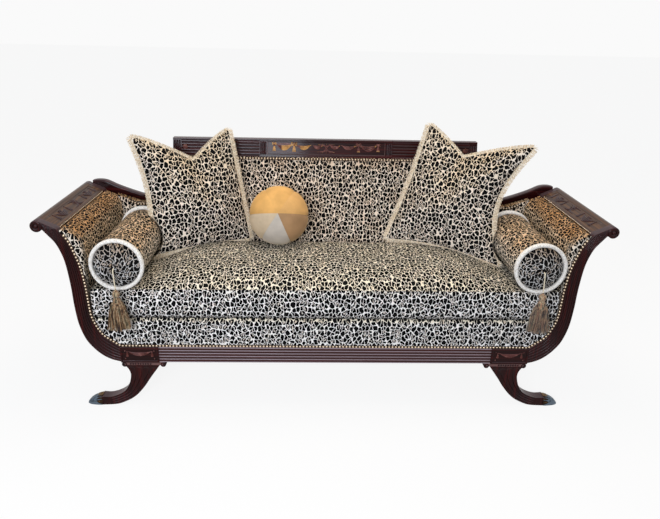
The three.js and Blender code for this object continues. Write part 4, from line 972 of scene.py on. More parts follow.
# %% Inside arms
pad_steps, cover_steps = (round(share * arm_steps) + 1 for share in (0.975, 0.965))
cover_near, cover_far, strip_front, most_fillet = 4, 12, 4.0, 11
pad_front, pad_heel, print_start = tablet_front + 0.7, 15, 0.37
pad_line = arm_pad[:pad_steps].copy()
pad_line[0, 0] = block_outer + gap
under = offset_line(arm_outer, cover_far + gap)[:cover_steps]
under[:, 0] = np.maximum(under[:, 0], block_outer + gap)
outline = np.concatenate([pad_line, [arm_head + tablet_down * pad_heel - tablet_along], under[::-1]])
stations = np.linspace(pad_front, tablet_back, 40)
round_it = lengths(np.concatenate([outline, outline[:1]])) / 1000
roll_cloth = np.stack(np.broadcast_arrays(round_it[None], stations[:, None] / 1000), axis=-1)
quarter = np.radians(np.linspace(0, 90, 7))
front_rows = []
for i in np.flatnonzero(pad_line[:, 1] > seat_height + 1):
    swell = pad_swell[i] - 0.1
    fillet = min(most_fillet, swell * 0.55)
    rounding = swell - fillet + fillet * np.sin(quarter[1:])
    into = np.concatenate([[gap, 1.5], np.linspace(2, swell - fillet, 7), rounding, [swell, swell]])
    bent = strip_front + fillet * (1 - np.cos(quarter[1:]))
    back = np.concatenate([[8, strip_front + 1], np.full(7, strip_front), bent, [26, pad_front]])
    normal = unit(arm_pad[i] - arm_inner[i])
    run = lengths(np.stack([into, back], axis=1))
    front_rows.append((arm_inner[i] + normal * into[:, None], back, (arm_inner[i] + normal * run[:, None]) / 1000))
front_places, front_back, front_cloth = (np.array(part) for part in zip(*front_rows))
for side_name, side in sides:
    shape = bmesh.new()
    panel(shape, ringed(np.array([on_face(outline, y, side) for y in stations])), roll_cloth + [0, side * print_start])
    body_faces = len(shape.faces)
    panel(shape, on_face(front_places, front_back, side), front_cloth + [0, side * print_start])
    second_look(shape, body_faces)
    looks = [arm_velvet, cover_velvet]
    new_piece(f"arm_padding_{side_name}", shape, looks, f"inside_arm_{side_name}", sharp=70)

# %% [markdown]
# The outside of the arm is one cover, from under the scroll down to the seat rail. It has little
# padding, so a flat sheet along the arm would nearly do. But cloth over a frame is never quite flat:
# a puff of 1.5 mm that dies out at its edges catches the light as cloth does.

# %% Outside arms
cover_puff, cover_rows = 1.5, 24
near, far = (offset_line(arm_outer, distance)[:cover_steps] for distance in (cover_near, cover_far))
outline = np.concatenate([near, far[::-1]])
outline[:, 0] = np.maximum(outline[:, 0], block_outer + gap)
stations = np.linspace(tablet_front, tablet_back, cover_rows)
puff = cover_puff * np.sin(np.pi * np.linspace(0, 1, len(near))) ** 0.5
puff = np.concatenate([puff, np.zeros(len(far))])
normal = np.concatenate([offset_line(arm_outer, cover_near - 1)[:cover_steps] - near, np.zeros_like(far)])
swelling = [math.sin(math.pi * k / (cover_rows - 1)) ** 0.4 for k in range(cover_rows)]
for side_name, side in sides:
    rows = []
    for y, share in zip(stations, swelling):
        x = (outline + normal * (puff * share)[:, None])[:, 0]
        rows.append(at(x, y, (outline + normal * puff[:, None])[:, 1], side))
    shape = bmesh.new()
    skin(shape, rows, wrap=True)
    new_piece(f"outside_cover_{side_name}", shape, [cover_velvet], f"outside_arm_{side_name}", sharp=60)

# %% [markdown]
# The back is one wide panel. Its top edge follows the crest and the swept shoulders, where it is
# nailed, so the padding thins out towards that line, and its two wings run out to the arms' padding.
# The grid's columns stand closer together where the edge falls steeply. A panel's open border is
# extruded backwards to close it, and the print runs on over the edge. A plain cover closes the rear.

# %% Inside back
back_rear, back_thick, back_thin = arm_depth - 10, 107, 25
back_foot, back_lean = back_rear - back_thick, back_thick - back_thin
under_line = shoulder_under[(shoulder_under[:, 1] < crest_seat - 0.5)]
cushion_half = clear_above(seat_height) - 3
edge_x = np.concatenate([[0, crest_half - shoulder_wide - gap], under_line[:, 0]])
edge_z = np.concatenate([[crest_seat, crest_seat], under_line[:, 1]])
wing_start = 770


def back_face(z):
    """The leaning front of the back at a height."""
    return back_foot + (np.asarray(z, float) - seat_height) * back_lean / (crest_bottom - seat_height)


def arm_side(z):
    """How far out the arm's padding lets the back run at a height."""
    return np.maximum(pad_reach(z) - gap, cushion_half)


def back_sheet(front, puff, rows=44):
    """Points of a panel with the back's outline, from arm to arm. Front gives its y at a height."""
    steep = np.linspace(628, wing_start, 30)
    half = np.concatenate([np.linspace(0, 620, 45), steep, np.linspace(782, cushion_half, 16)])
    across_x = np.concatenate([-half[::-1], half[1:]])
    foot = np.array([rail_top + gap, 300, 340, seat_height])
    foot_half = np.minimum(pad_reach(foot) - gap, cushion_half)
    share = np.linspace(0, 1, rows)[1:, None]
    x = np.broadcast_to(across_x, (rows - 1, len(across_x)))
    for _ in range(5):
        z = seat_height + (np.interp(np.abs(x), edge_x, edge_z) - seat_height) * share
        wing = np.maximum(np.abs(across_x) - wing_start, 0) * (arm_side(z) - cushion_half)
        x = across_x + np.sign(across_x) * (wing / (cushion_half - wing_start))
    x = np.concatenate([across_x * (foot_half / cushion_half)[:, None], x])
    z = np.concatenate([np.broadcast_to(foot[:, None], (4, len(across_x))), z])
    away = np.minimum(np.interp(np.abs(x), edge_x, edge_z) - z, 3 * (arm_side(z) + 6 - np.abs(x)))
    return x, front(z) + puff * (1 - smooth(-8, 55, away)), z


def bordered(x, y, z, rear, tall=1.0):
    """A panel whose border is turned back to a depth in mm. The print runs on over the edge."""
    bm = bmesh.new()
    panel(bm, at(x, y, z), np.stack([x, z * tall], axis=-1) / 1000)
    layer = bm.loops.layers.uv["cloth"]
    rim = [edge for edge in bm.edges if edge.is_boundary]
    middle = Vector(np.mean([corner.co for edge in rim for corner in edge.verts], axis=0))
    for corner in bmesh.ops.extrude_edge_only(bm, edges=rim)["geom"]:
        if isinstance(corner, bmesh.types.BMVert):
            depth = rear / 1000 + arm_front - corner.co.y
            out = corner.co - middle
            run = sum((Vector(map(abs, edge.verts[0].co - edge.verts[1].co)) for edge in corner.link_edges), Vector())
            on = (0, math.copysign(depth, out.z)) if run.x > run.z else (math.copysign(depth, out.x), 0)
            corner.co.y += depth
            for loop in corner.link_loops:
                loop[layer].uv = loop[layer].uv + Vector(on)
    return bm


back_puff, back_cut, nailed_in = 6, 1.02, 1.2
x, y, z = back_sheet(back_face, back_puff)
y = y + nailed_in + soft_noise(at(x, y, z), 160, 1.2)
shape = bordered(x, y, z, back_rear, back_cut)
new_piece("back_padding", shape, [cover_velvet], "inside_back", sharp=55)
x, y, z = back_sheet(lambda z: np.full_like(z, back_rear + gap + 4.5), 0, rows=20)
shape = bordered(x, y, z, back_rear + gap, back_cut)
new_piece("outside_back_cover", shape, [cover_velvet], "outside_back", sharp=55)

# %% [markdown]
# The border under the cushion is tight over the seat's front edge, between the two arms, and its top
# edge is turned in. The deck behind it is black lining over the springs. A cushion hides the deck, so
# a plain box would do, but its sides follow the arms' padding to keep clear of it.

# %% Front border and seat deck
heights = np.linspace(rail_top + gap, seat_height, 22)
edge_line = offset_line(arm_inner, gap)
along_arm = np.interp(heights, edge_line[:, 1], edge_line[:, 0])
reach = np.where(heights < edge_line[0, 1], edge_line[0, 0], along_arm)
across_share = np.linspace(-1, 1, 161)
x = across_share[None] * reach[:, None]
z = np.broadcast_to(heights[:, None], x.shape)
bulge = np.sin(np.pi * (z - heights[0]) / (heights[-1] - heights[0])) ** 0.6 * (1 - np.abs(across_share[None]) ** 30)
turned_in = 12 * smooth(seat_height - 14, seat_height, z) ** 1.5
border_front, border_bulge, border_rear = 4, 2.2, 30
y = border_front - border_bulge * bulge + turned_in + soft_noise(at(x, 0 * z, z), 90, 0.8)
shape = bordered(x, y, z, border_rear)
new_piece("seat_border", shape, [seat_velvet], "front_border", sharp=60)

deck_thick, deck_front = 55, 35.4
deck_bottom = seat_height - deck_thick
deck_back = float(back_face(deck_bottom)) - gap
levels = np.array([deck_bottom, deck_bottom + 3, 350, 370, seat_height - 4, seat_height])
pad_side = offset_line(arm_pad, gap)
inward = np.where(levels == seat_height, 4, 0)
reach = np.interp(levels, pad_side[:, 1], pad_side[:, 0]) - inward
sections = [
    at([-half, half, half, -half], [deck_front + i, deck_front + i, deck_back - i, deck_back - i], z)
    for z, half, i in zip(levels, reach, inward)
]
shape = bmesh.new()
skin(shape, sections)
new_piece("sprung_deck", shape, [lining_look], "seat_deck")

# %% [markdown]
# The springs stand on jute webbing, whose bands go over and under each other like a basket: a band
# rises or dips a little where it crosses another. Black cambric closes the bottom.

# %% Webbing and dust cover
spring_middle = (float(back_face(deck_bottom)) + 30) / 2
columns_x = (np.arange(6) - 2.5) * 200
rows_y = spring_middle + (np.arange(3) - 1) * 150
band_half, band_thick, band_level, band_dip, crossing_wide = 30, 1.3, 193.9, 0.35, 26
band_ring = np.array([[-band_half, 0], [band_half, 0], [band_half, band_thick], [-band_half, band_thick]])
shape = bmesh.new()
for places, crossings, start, end, along_x, first in (
    (columns_x, rows_y, 6, arm_depth - 6, False, 0),
    (rows_y, columns_x, -649, 649, True, 1),
):
    run = np.linspace(start, end, 60)
    for number, place in enumerate(places):
        over = [np.exp(-(((run - crossing) / crossing_wide) ** 2)) for crossing in crossings]
        lift = sum((-1) ** (k + (number + first) % 2) * up for k, up in enumerate(over))
        beside, low = place + band_ring[:, 0], (band_level + band_dip * lift)[:, None] + band_ring[:, 1]
        skin(shape, at(run[:, None], beside, low) if along_x else at(beside, run[:, None], low))
new_piece("jute_bands", shape, [jute_look], "seat_webbing")

cambric_level, cambric_sag, cambric_half, cambric_inset = 193.2, 1.6, 625, 6
share_x, share_y = np.meshgrid(np.linspace(0, 1, 40), np.linspace(0, 1, 24))
run_x, run_y = cambric_half * (2 * share_x - 1), cambric_inset + (arm_depth - 2 * cambric_inset) * share_y
sag = cambric_sag * np.sin(np.pi * share_x) * np.sin(np.pi * share_y)
shape = bmesh.new()
panel(shape, at(run_x, run_y, cambric_level - sag))
bmesh.ops.solidify(shape, geom=shape.faces[:], thickness=0.0006)
cambric = new_piece("cambric_underside", shape, [lining_look], "dust_cover")

# %% [markdown]
# ## Rows of nails
#
# Domed brass nails hold the cloth's edges, 13 mm from one to the next, on a narrow dark tape. A nail
# is repeated some four hundred times, so it is a dome of few faces, sunk in the tape.


# %% Nail rows
tape_half, tape_thick, nail_lift = 5.3, 0.7, 0.6
tape_section = ((-tape_half, 0), (-tape_half, tape_thick), (tape_half, tape_thick), (tape_half, 0))


def nail_row(name, line, facing, stands_for, pitch=13.0, radius=4.2, height=3.2):
    """Nails at even steps along a line of points in metres. Facing is the way they look."""
    bm = bmesh.new()
    out = np.broadcast_to(facing, line.shape)
    tangents = unit(np.gradient(line, axis=0))
    sideways = np.cross(tangents, out)
    tape = [line + sideways * w / 1000 + out * h / 1000 for w, h in tape_section]
    skin(bm, np.stack(tape, axis=1))
    tape_faces = len(bm.faces)
    walked = lengths(line) * 1000
    count = max(2, round(walked[-1] / pitch))
    places = np.linspace(walked[-1] / count / 2, walked[-1] * (1 - 0.5 / count), count)
    spots, facings, tangent = (sampled(places, walked, table) for table in (line, out, tangents))
    swing, lift = np.meshgrid(np.linspace(0, 2 * math.pi, 11), np.radians([-30, 0, 25, 50, 72, 90]))
    wide, tall = radius * np.cos(lift) / 1000, (height * np.sin(lift) + nail_lift) / 1000
    dome = sum(
        arrow[:, None, None] * amount[None, ..., None]
        for arrow, amount in (
            (tangent, wide * np.cos(swing)), (np.cross(tangent, facings), wide * np.sin(swing)), (facings, tall)
        )
    )
    repeated(bm, spots[:, None, None] + dome)
    second_look(bm, tape_faces)
    new_piece(name, bm, [tape_look, nail_brass], stands_for, sharp=60)


def both_halves(half):
    """A line from the left to the right end, from its right half."""
    return even_line(np.concatenate([half[::-1] * [-1, 1], half]), 420)


nail_inset = 5.6
seat_half = offset_line(arm_inner[: round(0.95 * arm_steps) + 1], nail_inset)
nail_row("seat_nails", on_face(both_halves(seat_half), 2.9), [0, -1.0, 0], "front_nails")

under_nails = offset_line(shoulder_line, -shoulder_wide - gap - nail_inset)
keep = under_nails[(under_nails[:, 0] < cushion_half - 8) & (under_nails[:, 1] < crest_seat - 6.5)]
crest_nails_up = crest_seat - nail_inset
crest_run = [[0, crest_nails_up], [300, crest_nails_up], [crest_half - 34, crest_nails_up - 0.6]]
line = both_halves(np.concatenate([crest_run, keep]))
lean = math.atan2(back_lean, crest_bottom - seat_height)
crest_line = on_face(line, back_face(line[:, 1]) + nailed_in)
nail_row("crest_nails", crest_line, [0, -math.cos(lean), math.sin(lean)], "back_nails")

place = arm_head + tablet_down * nail_inset - tablet_along * gap
for side_name, side in sides:
    line = on_face(place, np.linspace(tablet_front + 4, tablet_back - 4, 60), side)
    facing = [-side * tablet_along[0], 0, -tablet_along[1]]
    nail_row(f"tablet_nail_row_{side_name}", line, facing, f"tablet_nails_{side_name}", pitch=12.5)

# %% [markdown]
# ## Carving
#
# The crest, the two tablets and the leg blocks are carved with drapery, leaves and ties. A carver lays
# out such work in strokes, and here it is the same: each stroke is a half-round ribbon along a line,
# with its own width from end to end. All strokes have as many corners, so that one grid makes a whole
# panel of them. A warm reflection that falls on part of the carving is painted as gold: that is a
# second material on some of the strokes.


# %% Strokes
def stroke(line, width, height=2.6, rows=15, bold=1.25):
    """A ribbon in a panel's plane: its corners as (along, up, out), in mm."""
    line = smooth_line(line, rows) if len(line) > 2 else even_line(np.asarray(line, float), rows)
    ahead_of = np.gradient(line, axis=0)
    ahead_of /= np.linalg.norm(ahead_of, axis=1)[:, None] + 1e-9
    width = bold * np.interp(np.linspace(0, 1, rows), np.linspace(0, 1, len(width)), width)
    part = np.cos(np.radians(np.linspace(180, 0, 7)))
    side_way = np.stack([-ahead_of[:, 1], ahead_of[:, 0]], axis=1)
    places = line[:, None] + side_way[:, None] * (width[:, None] / 2 * part)[..., None]
    out = height * np.sqrt(1 - part**2) * np.minimum(1, width / 3)[:, None] - 0.4
    return np.concatenate([places, out[..., None]], axis=2)


def disc(x, y, radius, height=2.2):
    """A bead, as a short stroke."""
    widths = [0.2, 1.75 * radius, 2 * radius, 1.75 * radius, 0.2]
    return stroke([[x - radius, y], [x, y], [x + radius, y]], widths, height)


def swag(x, y, half, sag, folds):
    """Cloth hung from two points: folds that sag more and more."""
    run = np.linspace(-1, 1, 9)
    strokes = []
    for k in range(folds):
        hung = y - sag * (0.35 + 0.65 * k / (folds - 1)) * (1 - run**2)
        strokes.append(stroke(np.stack([x + half * (1 - 0.04 * k) * run, hung], axis=1), [1, 3.6, 4.4, 3.6, 1]))
    return strokes


def hanging(x, y, length, flare=5.0):
    """A tail of cloth or a tassel that hangs from a knot."""
    tails = [[[x, y], [x + lean * 0.5, y - length / 2], [x + lean, y - length]] for lean in (-flare, 0, flare)]
    return [*[stroke(tail, [1.4, 2.6, 3.8, 3.4]) for tail in tails], disc(x, y, 2.6, 2.8)]


def bow(x, y, size):
    """A tied ribbon: two loops and two ends."""
    loop = [[0, 0], [0.5, 0.42], [1, 0.3], [0.85, -0.1], [0.4, -0.14], [0, 0]]
    tail = [[0, 0], [0.35, -0.5], [0.8, -0.62], [1.15, -1.0]]
    ribbons = [(way, part) for way in (-1, 1) for part in ((loop, [1.6, 3, 3, 3, 1.6]), (tail, [1.6, 2.8, 3, 1]))]
    made = [stroke([[x + way * size * a, y + size * b] for a, b in line], width) for way, (line, width) in ribbons]
    return [*made, disc(x, y, 2.4, 2.8)]


def sheaf(x, y, length, spread):
    """Leaves that fan out to both sides of a tie."""
    made = [disc(x, y, 3.0, 3.0)]
    for up in (-1, 1):
        for lean in np.linspace(-1, 1, 5):
            tip = [x + lean * length * spread, y + up * length * (0.5 - 0.12 * abs(lean))]
            mid = [x + lean * length * spread * 0.34, y + up * length * 0.3]
            made.append(stroke([[x, y], mid, tip], [1.2, 3.4, 3.8, 0.6]))
    return made


def flower(x, y, radius):
    """A round flower of eight petals."""
    lines = [[circle((x, y), share * radius, turn) for share in (0.2, 1)] for turn in np.arange(8) * 45]
    petals = [stroke(line, [0.8, 0.5 * radius, 0.6 * radius, 0.4]) for line in lines]
    return [*petals, disc(x, y, 0.28 * radius, 2.8)]


def carving(name, place, looks, *groups):
    """Lays groups of strokes, a look for each. Place turns (along, up, out) into the scene's points."""
    bm = bmesh.new()
    for number, strokes in enumerate(groups):
        before = len(bm.faces)
        flat = np.array(strokes)
        repeated(bm, place(flat[..., 0], flat[..., 1], flat[..., 2]))
        second_look(bm, before, number)
    return new_piece(name, bm, looks, sharp=70)


print("a bow has", len(bow(0, 0, 10)), "strokes")

# %% [markdown]
# The crest's panel shows drapery between bows, with a sheaf of leaves in the middle and flowers on the
# end blocks. On its left half a warm reflection is painted as gold, so the strokes are laid in two
# groups, a material each, and the others carry a painted pale highlight.

# %% Carving on the crest
# These strokes carry a warm reflection painted as gold.
reflection_strokes = [*swag(-187, 55, 40, 26, 5), *hanging(-231, 57, 32), *hanging(-143, 58, 36, 6), *swag(-100, 52, 34, 20, 4)]
reflection_strokes += [*bow(-143, 56, 12), *bow(-231, 57, 8)]
strokes = [*sheaf(0, 38, 42, 0.9), *swag(-38, 52, 24, 16, 3), *swag(38, 52, 24, 16, 3)]
strokes += [*swag(187, 55, 40, 26, 3), *hanging(231, 57, 30), *hanging(143, 57, 34, 5), *swag(100, 52, 34, 18, 3)]
strokes += [*bow(143, 56, 11), *bow(231, 57, 8)]
flower_x = crest_half - end_block - 16
strokes += [*flower(-flower_x, 37, 11), *flower(flower_x, 37, 11)]


def in_crest_panel(x, up, out):
    """A place on the crest, or on the ground of its panel."""
    return on_crest(x, up, out - panel_sunk * (np.abs(x) < panel_half - 2))


carving("crest_carving", in_crest_panel, [pale_highlight_wood, gold_reflection_wood], strokes, reflection_strokes)

# %% [markdown]
# A tablet shows the same motifs twice, on both sides of a sheaf, and a leg block has one small swag.
# One hand carved them all, so they are made of the same strokes. Only the function that lays them on
# the wood is another.

# %% Carving on the tablets and the leg blocks
middle, across_mid = (field_front + field_back) / 2, tablet_width / 2
strokes = []
for along in (middle - 145, middle + 145):
    strokes += swag(along, across_mid + 14, 50, 30, 4)
    for tail in (along - 58, along + 58):
        strokes += hanging(tail, across_mid + 17, 34, 6)
    strokes += bow(along, across_mid + 12, 12)
strokes += [*sheaf(middle, across_mid, 46, 1.1), *bow(middle, across_mid, 18)]
for side_name, side in sides:
    carving(
        f"tablet_carving_{side_name}",
        lambda along, across_it, out: on_tablet(along, across_it, out - 2.0, side),
        [wood_across, gold_reflection_wood],
        strokes,
    )

middle = (block_inner + block_outer) / 2
corners = [disc(x, z, 2.3) for x in (block_inner + 18, block_outer - 18) for z in (frame_bottom + 16, rail_top - 16)]
tails = [*hanging(middle - 48, rail_top - 20, 20, 3), *hanging(middle + 48, rail_top - 20, 20, 3)]
strokes = [*swag(middle, rail_top - 19, 46, 17, 4), *corners, *tails]
# The leg blocks' strokes carry a painted pale highlight.
for leg_name, side, rear in four_legs:
    carving(
        f"block_carving_{leg_name}",
        lambda x, z, out: at(x, -2.0 - out, z, side, rear),
        [pale_highlight_wood, gold_reflection_wood],
        strokes,
    )

# %% [markdown]
# ## The bench cushion
#
# One long cushion is cut from a top, a bottom and a boxing strip all round, and sewn with plain seams.
# Its filling crowns the top, but the bolsters press the ends flat. The six panels are six grids with
# their own cut of cloth, so the print breaks at each seam as it does on the real one. Beside a seam
# the cloth dips and puckers a little, because the thread is tighter than the cloth.

# %% Bench cushion
cushion_bottom, cushion_front = seat_height + gap, 4.5
cushion_deep = back_foot - 4 - cushion_front
boxing, crown, draw, belly_out, foot_in, seam_dip = 121, 46, 7, 5.0, 9, 2.5
boxing_top = cushion_bottom + boxing
crown_shares = [[0, 0], [0.1, 0.52], [0.2, 0.82], [0.3, 0.97], [0.4, 1], [0.8, 1], [0.9, 0.86], [1, 0.4]]
crown_line = smooth_line(crown_shares, 60)


def crown_height(x, y):
    """The top of the cushion at a place."""
    across_part = 1 - smooth(0.56, 0.86, np.abs(x) / cushion_half)
    return boxing_top + crown * across_part * np.interp((y - cushion_front) / cushion_deep, *crown_line.T)


def close_at_ends(count, amount):
    """Shares from 0 to 1 that stand closer together at both ends."""
    even = np.linspace(0, 1, count)
    return (1 - np.cos(np.pi * even)) / 2 * amount + even * (1 - amount)


def cushion_panel(bm, u, v, w, cut, shift):
    """One of six panels: u along from -1 to 1, v back and w up from 0 to 1. The cut is in mm."""
    u, v, w = np.broadcast_arrays(u, v, w)
    top, front, rear = w > 0.999, v < 0.001, v > 0.999
    seam_draw = draw * (2 * w - 1) ** 2
    x = u * (cushion_half - seam_draw * (1 - (2 * v - 1) ** 4))
    level_y = cushion_front + v * cushion_deep
    z = cushion_bottom + w * (crown_height(x, level_y) - cushion_bottom)
    belly = belly_out * np.sin(np.pi * w) ** 0.55 - foot_in * (1 - smooth(0, 0.13, w))
    points = at(x, level_y - seam_draw * (1 - u**4) * rear - belly * front, z)
    edge = np.minimum((1 - np.abs(u)) * cushion_half, np.minimum(v, 1 - v) * cushion_deep)
    ripple = soft_noise(points * [1.0, 0.5, 0.5], 70, 1.0, 4.0) + soft_noise(points, 26, 0.5, 9.0)
    dip = seam_dip * (1 - smooth(0, 22, edge)) * (edge > 0.5)
    points[..., 2] += (ripple * smooth(0, 18, edge) - dip) * top / 1000
    points[..., 1] += ripple * front * np.sin(np.pi * w) ** 0.5 / 1000
    panel(bm, points, np.stack(cut, axis=-1) / 1000 + shift)


shape = bmesh.new()
run_u, run_v, run_w = np.linspace(-1, 1, 221), close_at_ends(61, 0.35), np.linspace(0, 1, 17)
u, v = np.meshgrid(run_u, run_v)
for w, shift in ((1, 0), (0, 5)):
    cushion_panel(shape, u, v, w, (u * cushion_half, v * cushion_deep), shift)
u, w = np.meshgrid(run_u, run_w)
for v, shift in ((0, [0.011, -1.3]), (1, 7)):
    cushion_panel(shape, u, v, w, (u * cushion_half, w * boxing), shift)
v, w = np.meshgrid(run_v, run_w)
for end in (-1, 1):
    cushion_panel(shape, end, v, w, (v * cushion_deep, w * boxing), 9 + end)
new_piece("bench_cushion_cover", shape, [seat_velvet], "seat_cushion", "bench_cushion", sharp=60)

# %% [markdown]
# ## Bolsters
#
# A bolster is a roll. Its ends are rounds of cloth drawn in to a button, which twists the print a little
# at the middle, and small pleats deepen towards the button. A thick white edge is sewn round each end:
# a ring of brushed cotton.

# %% Bolster rolls
bolster_radius, bolster_length, bolster_dome, bolster_front = 93, 451, 24, -16
trim_radius, trim_inner, trim_width = 101, 86, 20
bolster_z = boxing_top + gap + trim_radius
bolster_clear = clear_above(boxing_top) - trim_radius
bolster_x = {"left": 21 - bolster_clear, "right": bolster_clear - 2}
dome_line = smooth_line([[0.08, 1.0], [0.14, 1], [0.6, 0.65], [0.9, 0], [1, -0.42]], 26)[::-1]


def roll_points(name, turns, radius, y):
    """Points round a bolster's axis, in degrees from its right-hand side."""
    place = circle((0, 0), 1, turns)
    return at(bolster_x[name] + radius * place[..., 0], bolster_front + y, bolster_z + radius * place[..., 1])


turns = np.linspace(-90, 270, 121)
roll_draw, pleat_deep, gather_deep, twist, end_cut = 5, 0.7, 1.5, 50, 1.05
roll_start, roll_end = trim_width, bolster_length - trim_width
roll_y = [roll_start + 0.5, *np.linspace(roll_start + 3, roll_end - 3, 52), roll_end - 0.5]
hem_radius = np.array([[trim_inner - gap], [trim_inner - gap], [bolster_radius - 5.6]])
hem_y = np.array([[0.42 * bolster_dome], [trim_width + 0.4], [trim_width + 0.5]])
for side_name, side in sides:
    shape = bmesh.new()
    ys, ts = np.meshgrid(roll_y, turns, indexing="ij")
    round_it = np.radians(ts)
    near_end = np.minimum(ys - roll_start, roll_end - ys)
    radius = bolster_radius - roll_draw * (1 - smooth(0, 26, near_end))
    wobble = soft_noise(roll_points(side_name, ts, radius, ys), 80, 1.6, 2.0)
    pleat = pleat_deep * np.sin(round_it * 34 + 2 * np.sin(round_it * 5)) * (1 - smooth(4, 40, near_end))
    points = roll_points(side_name, ts, radius + wobble - 0.6 + pleat, ys)
    panel(shape, points, np.stack([round_it * bolster_radius, ys], axis=-1) / 1000)
    roll_faces = len(shape.faces)
    rs, ts = np.meshgrid(dome_line[:, 0] * (trim_inner - gap), turns, indexing="ij")
    ups = np.broadcast_to(dome_line[:, 1:] * bolster_dome, rs.shape)
    round_it, inward = np.radians(ts), 1 - rs / trim_inner
    gather = gather_deep * inward**0.7 * np.sin(round_it * 22 + 1.3 * np.sin(round_it * 3)) * (ups > -3)
    out = ups - gather - soft_noise(roll_points(side_name, ts, rs, -ups), 30, 0.8)
    swirl = circle((0, 0), 1, ts + twist * inward**2) * rs[..., None] * end_cut / 1000
    hem_rs, hem_ys, hem_ts = np.broadcast_arrays(hem_radius, hem_y, turns)
    for front, shift in ((True, 1.0), (False, 1.7)):
        panel(shape, roll_points(side_name, ts, rs, -out if front else bolster_length + out), swirl + side * shift)
        hem = roll_points(side_name, hem_ts, hem_rs, hem_ys if front else bolster_length - hem_ys)
        panel(shape, hem, np.zeros((*hem_rs.shape, 2)))
    second_look(shape, roll_faces)
    body, looks = f"bolster_{side_name}", [roll_velvet, end_velvet]
    new_piece(f"bolster_cover_{side_name}", shape, looks, body, body, sharp=60)

# %% [markdown]
# The edge is cut cotton, so dense that single threads don't show. It could be a brush like the
# pillows' fringe, but a ring does: its section is a square with round corners, and a slow noise makes
# it bush out unevenly. The button is covered with a round of the same cloth as the ends.

# %% Bolster edges and buttons
turns, section = np.meshgrid(np.linspace(0, 360, 361), np.linspace(0, 360, 21), indexing="ij")
bush = 1 + 0.05 * soft_noise(np.stack([turns * 0.9, section * 0.012, turns * 0], axis=-1) / 40, 1000, 2.0)
part = circle((0, 0), 1, section)
part = np.sign(part) * np.abs(part) ** 0.75 * bush[..., None]
edge_radius = (trim_radius + trim_inner) / 2 + part[..., 0] * (trim_radius - trim_inner) / 2
edge_y = trim_width / 2 + part[..., 1] * trim_width / 2
button_radius, button_up = np.array([[11, -2.5], [11.2, 1.2], [10.6, 2.6], [9, 4], [6, 4.8], [2.5, 5], [0.1, 5]]).T
button_turns, button_rs = np.meshgrid(np.linspace(0, 360, 41), button_radius, indexing="ij")
for side_name, side in sides:
    body = f"bolster_{side_name}"
    for end, y in (("front", edge_y), ("rear", bolster_length - edge_y)):
        shape = bmesh.new()
        panel(shape, roll_points(side_name, turns, edge_radius, y))
        stands_for = f"bolster_trim_{end}_{side_name}"
        new_piece(f"cream_edge_{end}_{side_name}", shape, [edge_cotton], stands_for, body, sharp=80)
    shape = bmesh.new()
    points = roll_points(side_name, button_turns, button_rs, -bolster_dome - gap - button_up)
    panel(shape, points, points[..., ::2])
    new_piece(f"covered_button_{side_name}", shape, [end_velvet], f"bolster_button_{side_name}", body, sharp=60)

# %% [markdown]
# ## Tassels
#
# A tassel's cord is three strands twisted together, 4.5 mm thick and 84 mm long from the button to the
# tassel's head. It hangs limp, so it leaves the button forwards and turns down at once. The head is a
# wooden mould wound with thread. The skirt is a few hundred threads, which spread towards the hem.

# %% Tassels
cord_route = smooth_line([
    [0, 0, 0], [0, -3, 0], [0, -8.5, -2], [0, -11.3, -6],
    [0.3, -12, -12], [1, -12, -30], [2, -12, -55], [3, -12, -76],
], 72)
button_height, cord_core, strand_round = 5, 2.0, 0.35
cord_start_y = bolster_front - bolster_dome - gap - button_height - gap
head_line = smooth_line([
    [0.5, 0], [2.6, -1], [5.5, -5], [11.5, -9.5], [14.2, -17], [14.0, -24],
    [10.5, -30], [9.2, -34.5], [12.6, -38], [15, -42], [14.6, -46.5], [13.4, -52],
], 64)
head_turns, rows = np.meshgrid(np.radians(np.linspace(0, 360, 49)), np.arange(64), indexing="ij")
head_radius, head_down = head_line[rows, 0], head_line[rows, 1]
winding = 0.45 * np.sin(head_turns * 8 + rows * 0.9) * (head_radius > 5)
threads, down = 420, np.linspace(0, 1, 7)[None]
skirt_start, skirt_length, skirt_uneven, skirt_wide, hem_wide = 46, 110, 5, 15, 30
thread_ring = circle((0, 0), 0.8, [0, 120, 240, 360])
tangent = unit(np.gradient(cord_route, axis=0))
sideways = unit(np.cross(tangent, [1.0, 0, 0]))
walked = lengths(cord_route)
ring = np.radians(np.linspace(0, 360, 19)[:-1])
strands = cord_core + strand_round * np.abs(np.cos(1.5 * (ring[None] - walked[:, None] * 0.75)))
round_cord = np.cos(ring)[None, :, None] * sideways[:, None]
round_cord = round_cord + np.sin(ring)[None, :, None] * np.cross(tangent, sideways)[:, None]
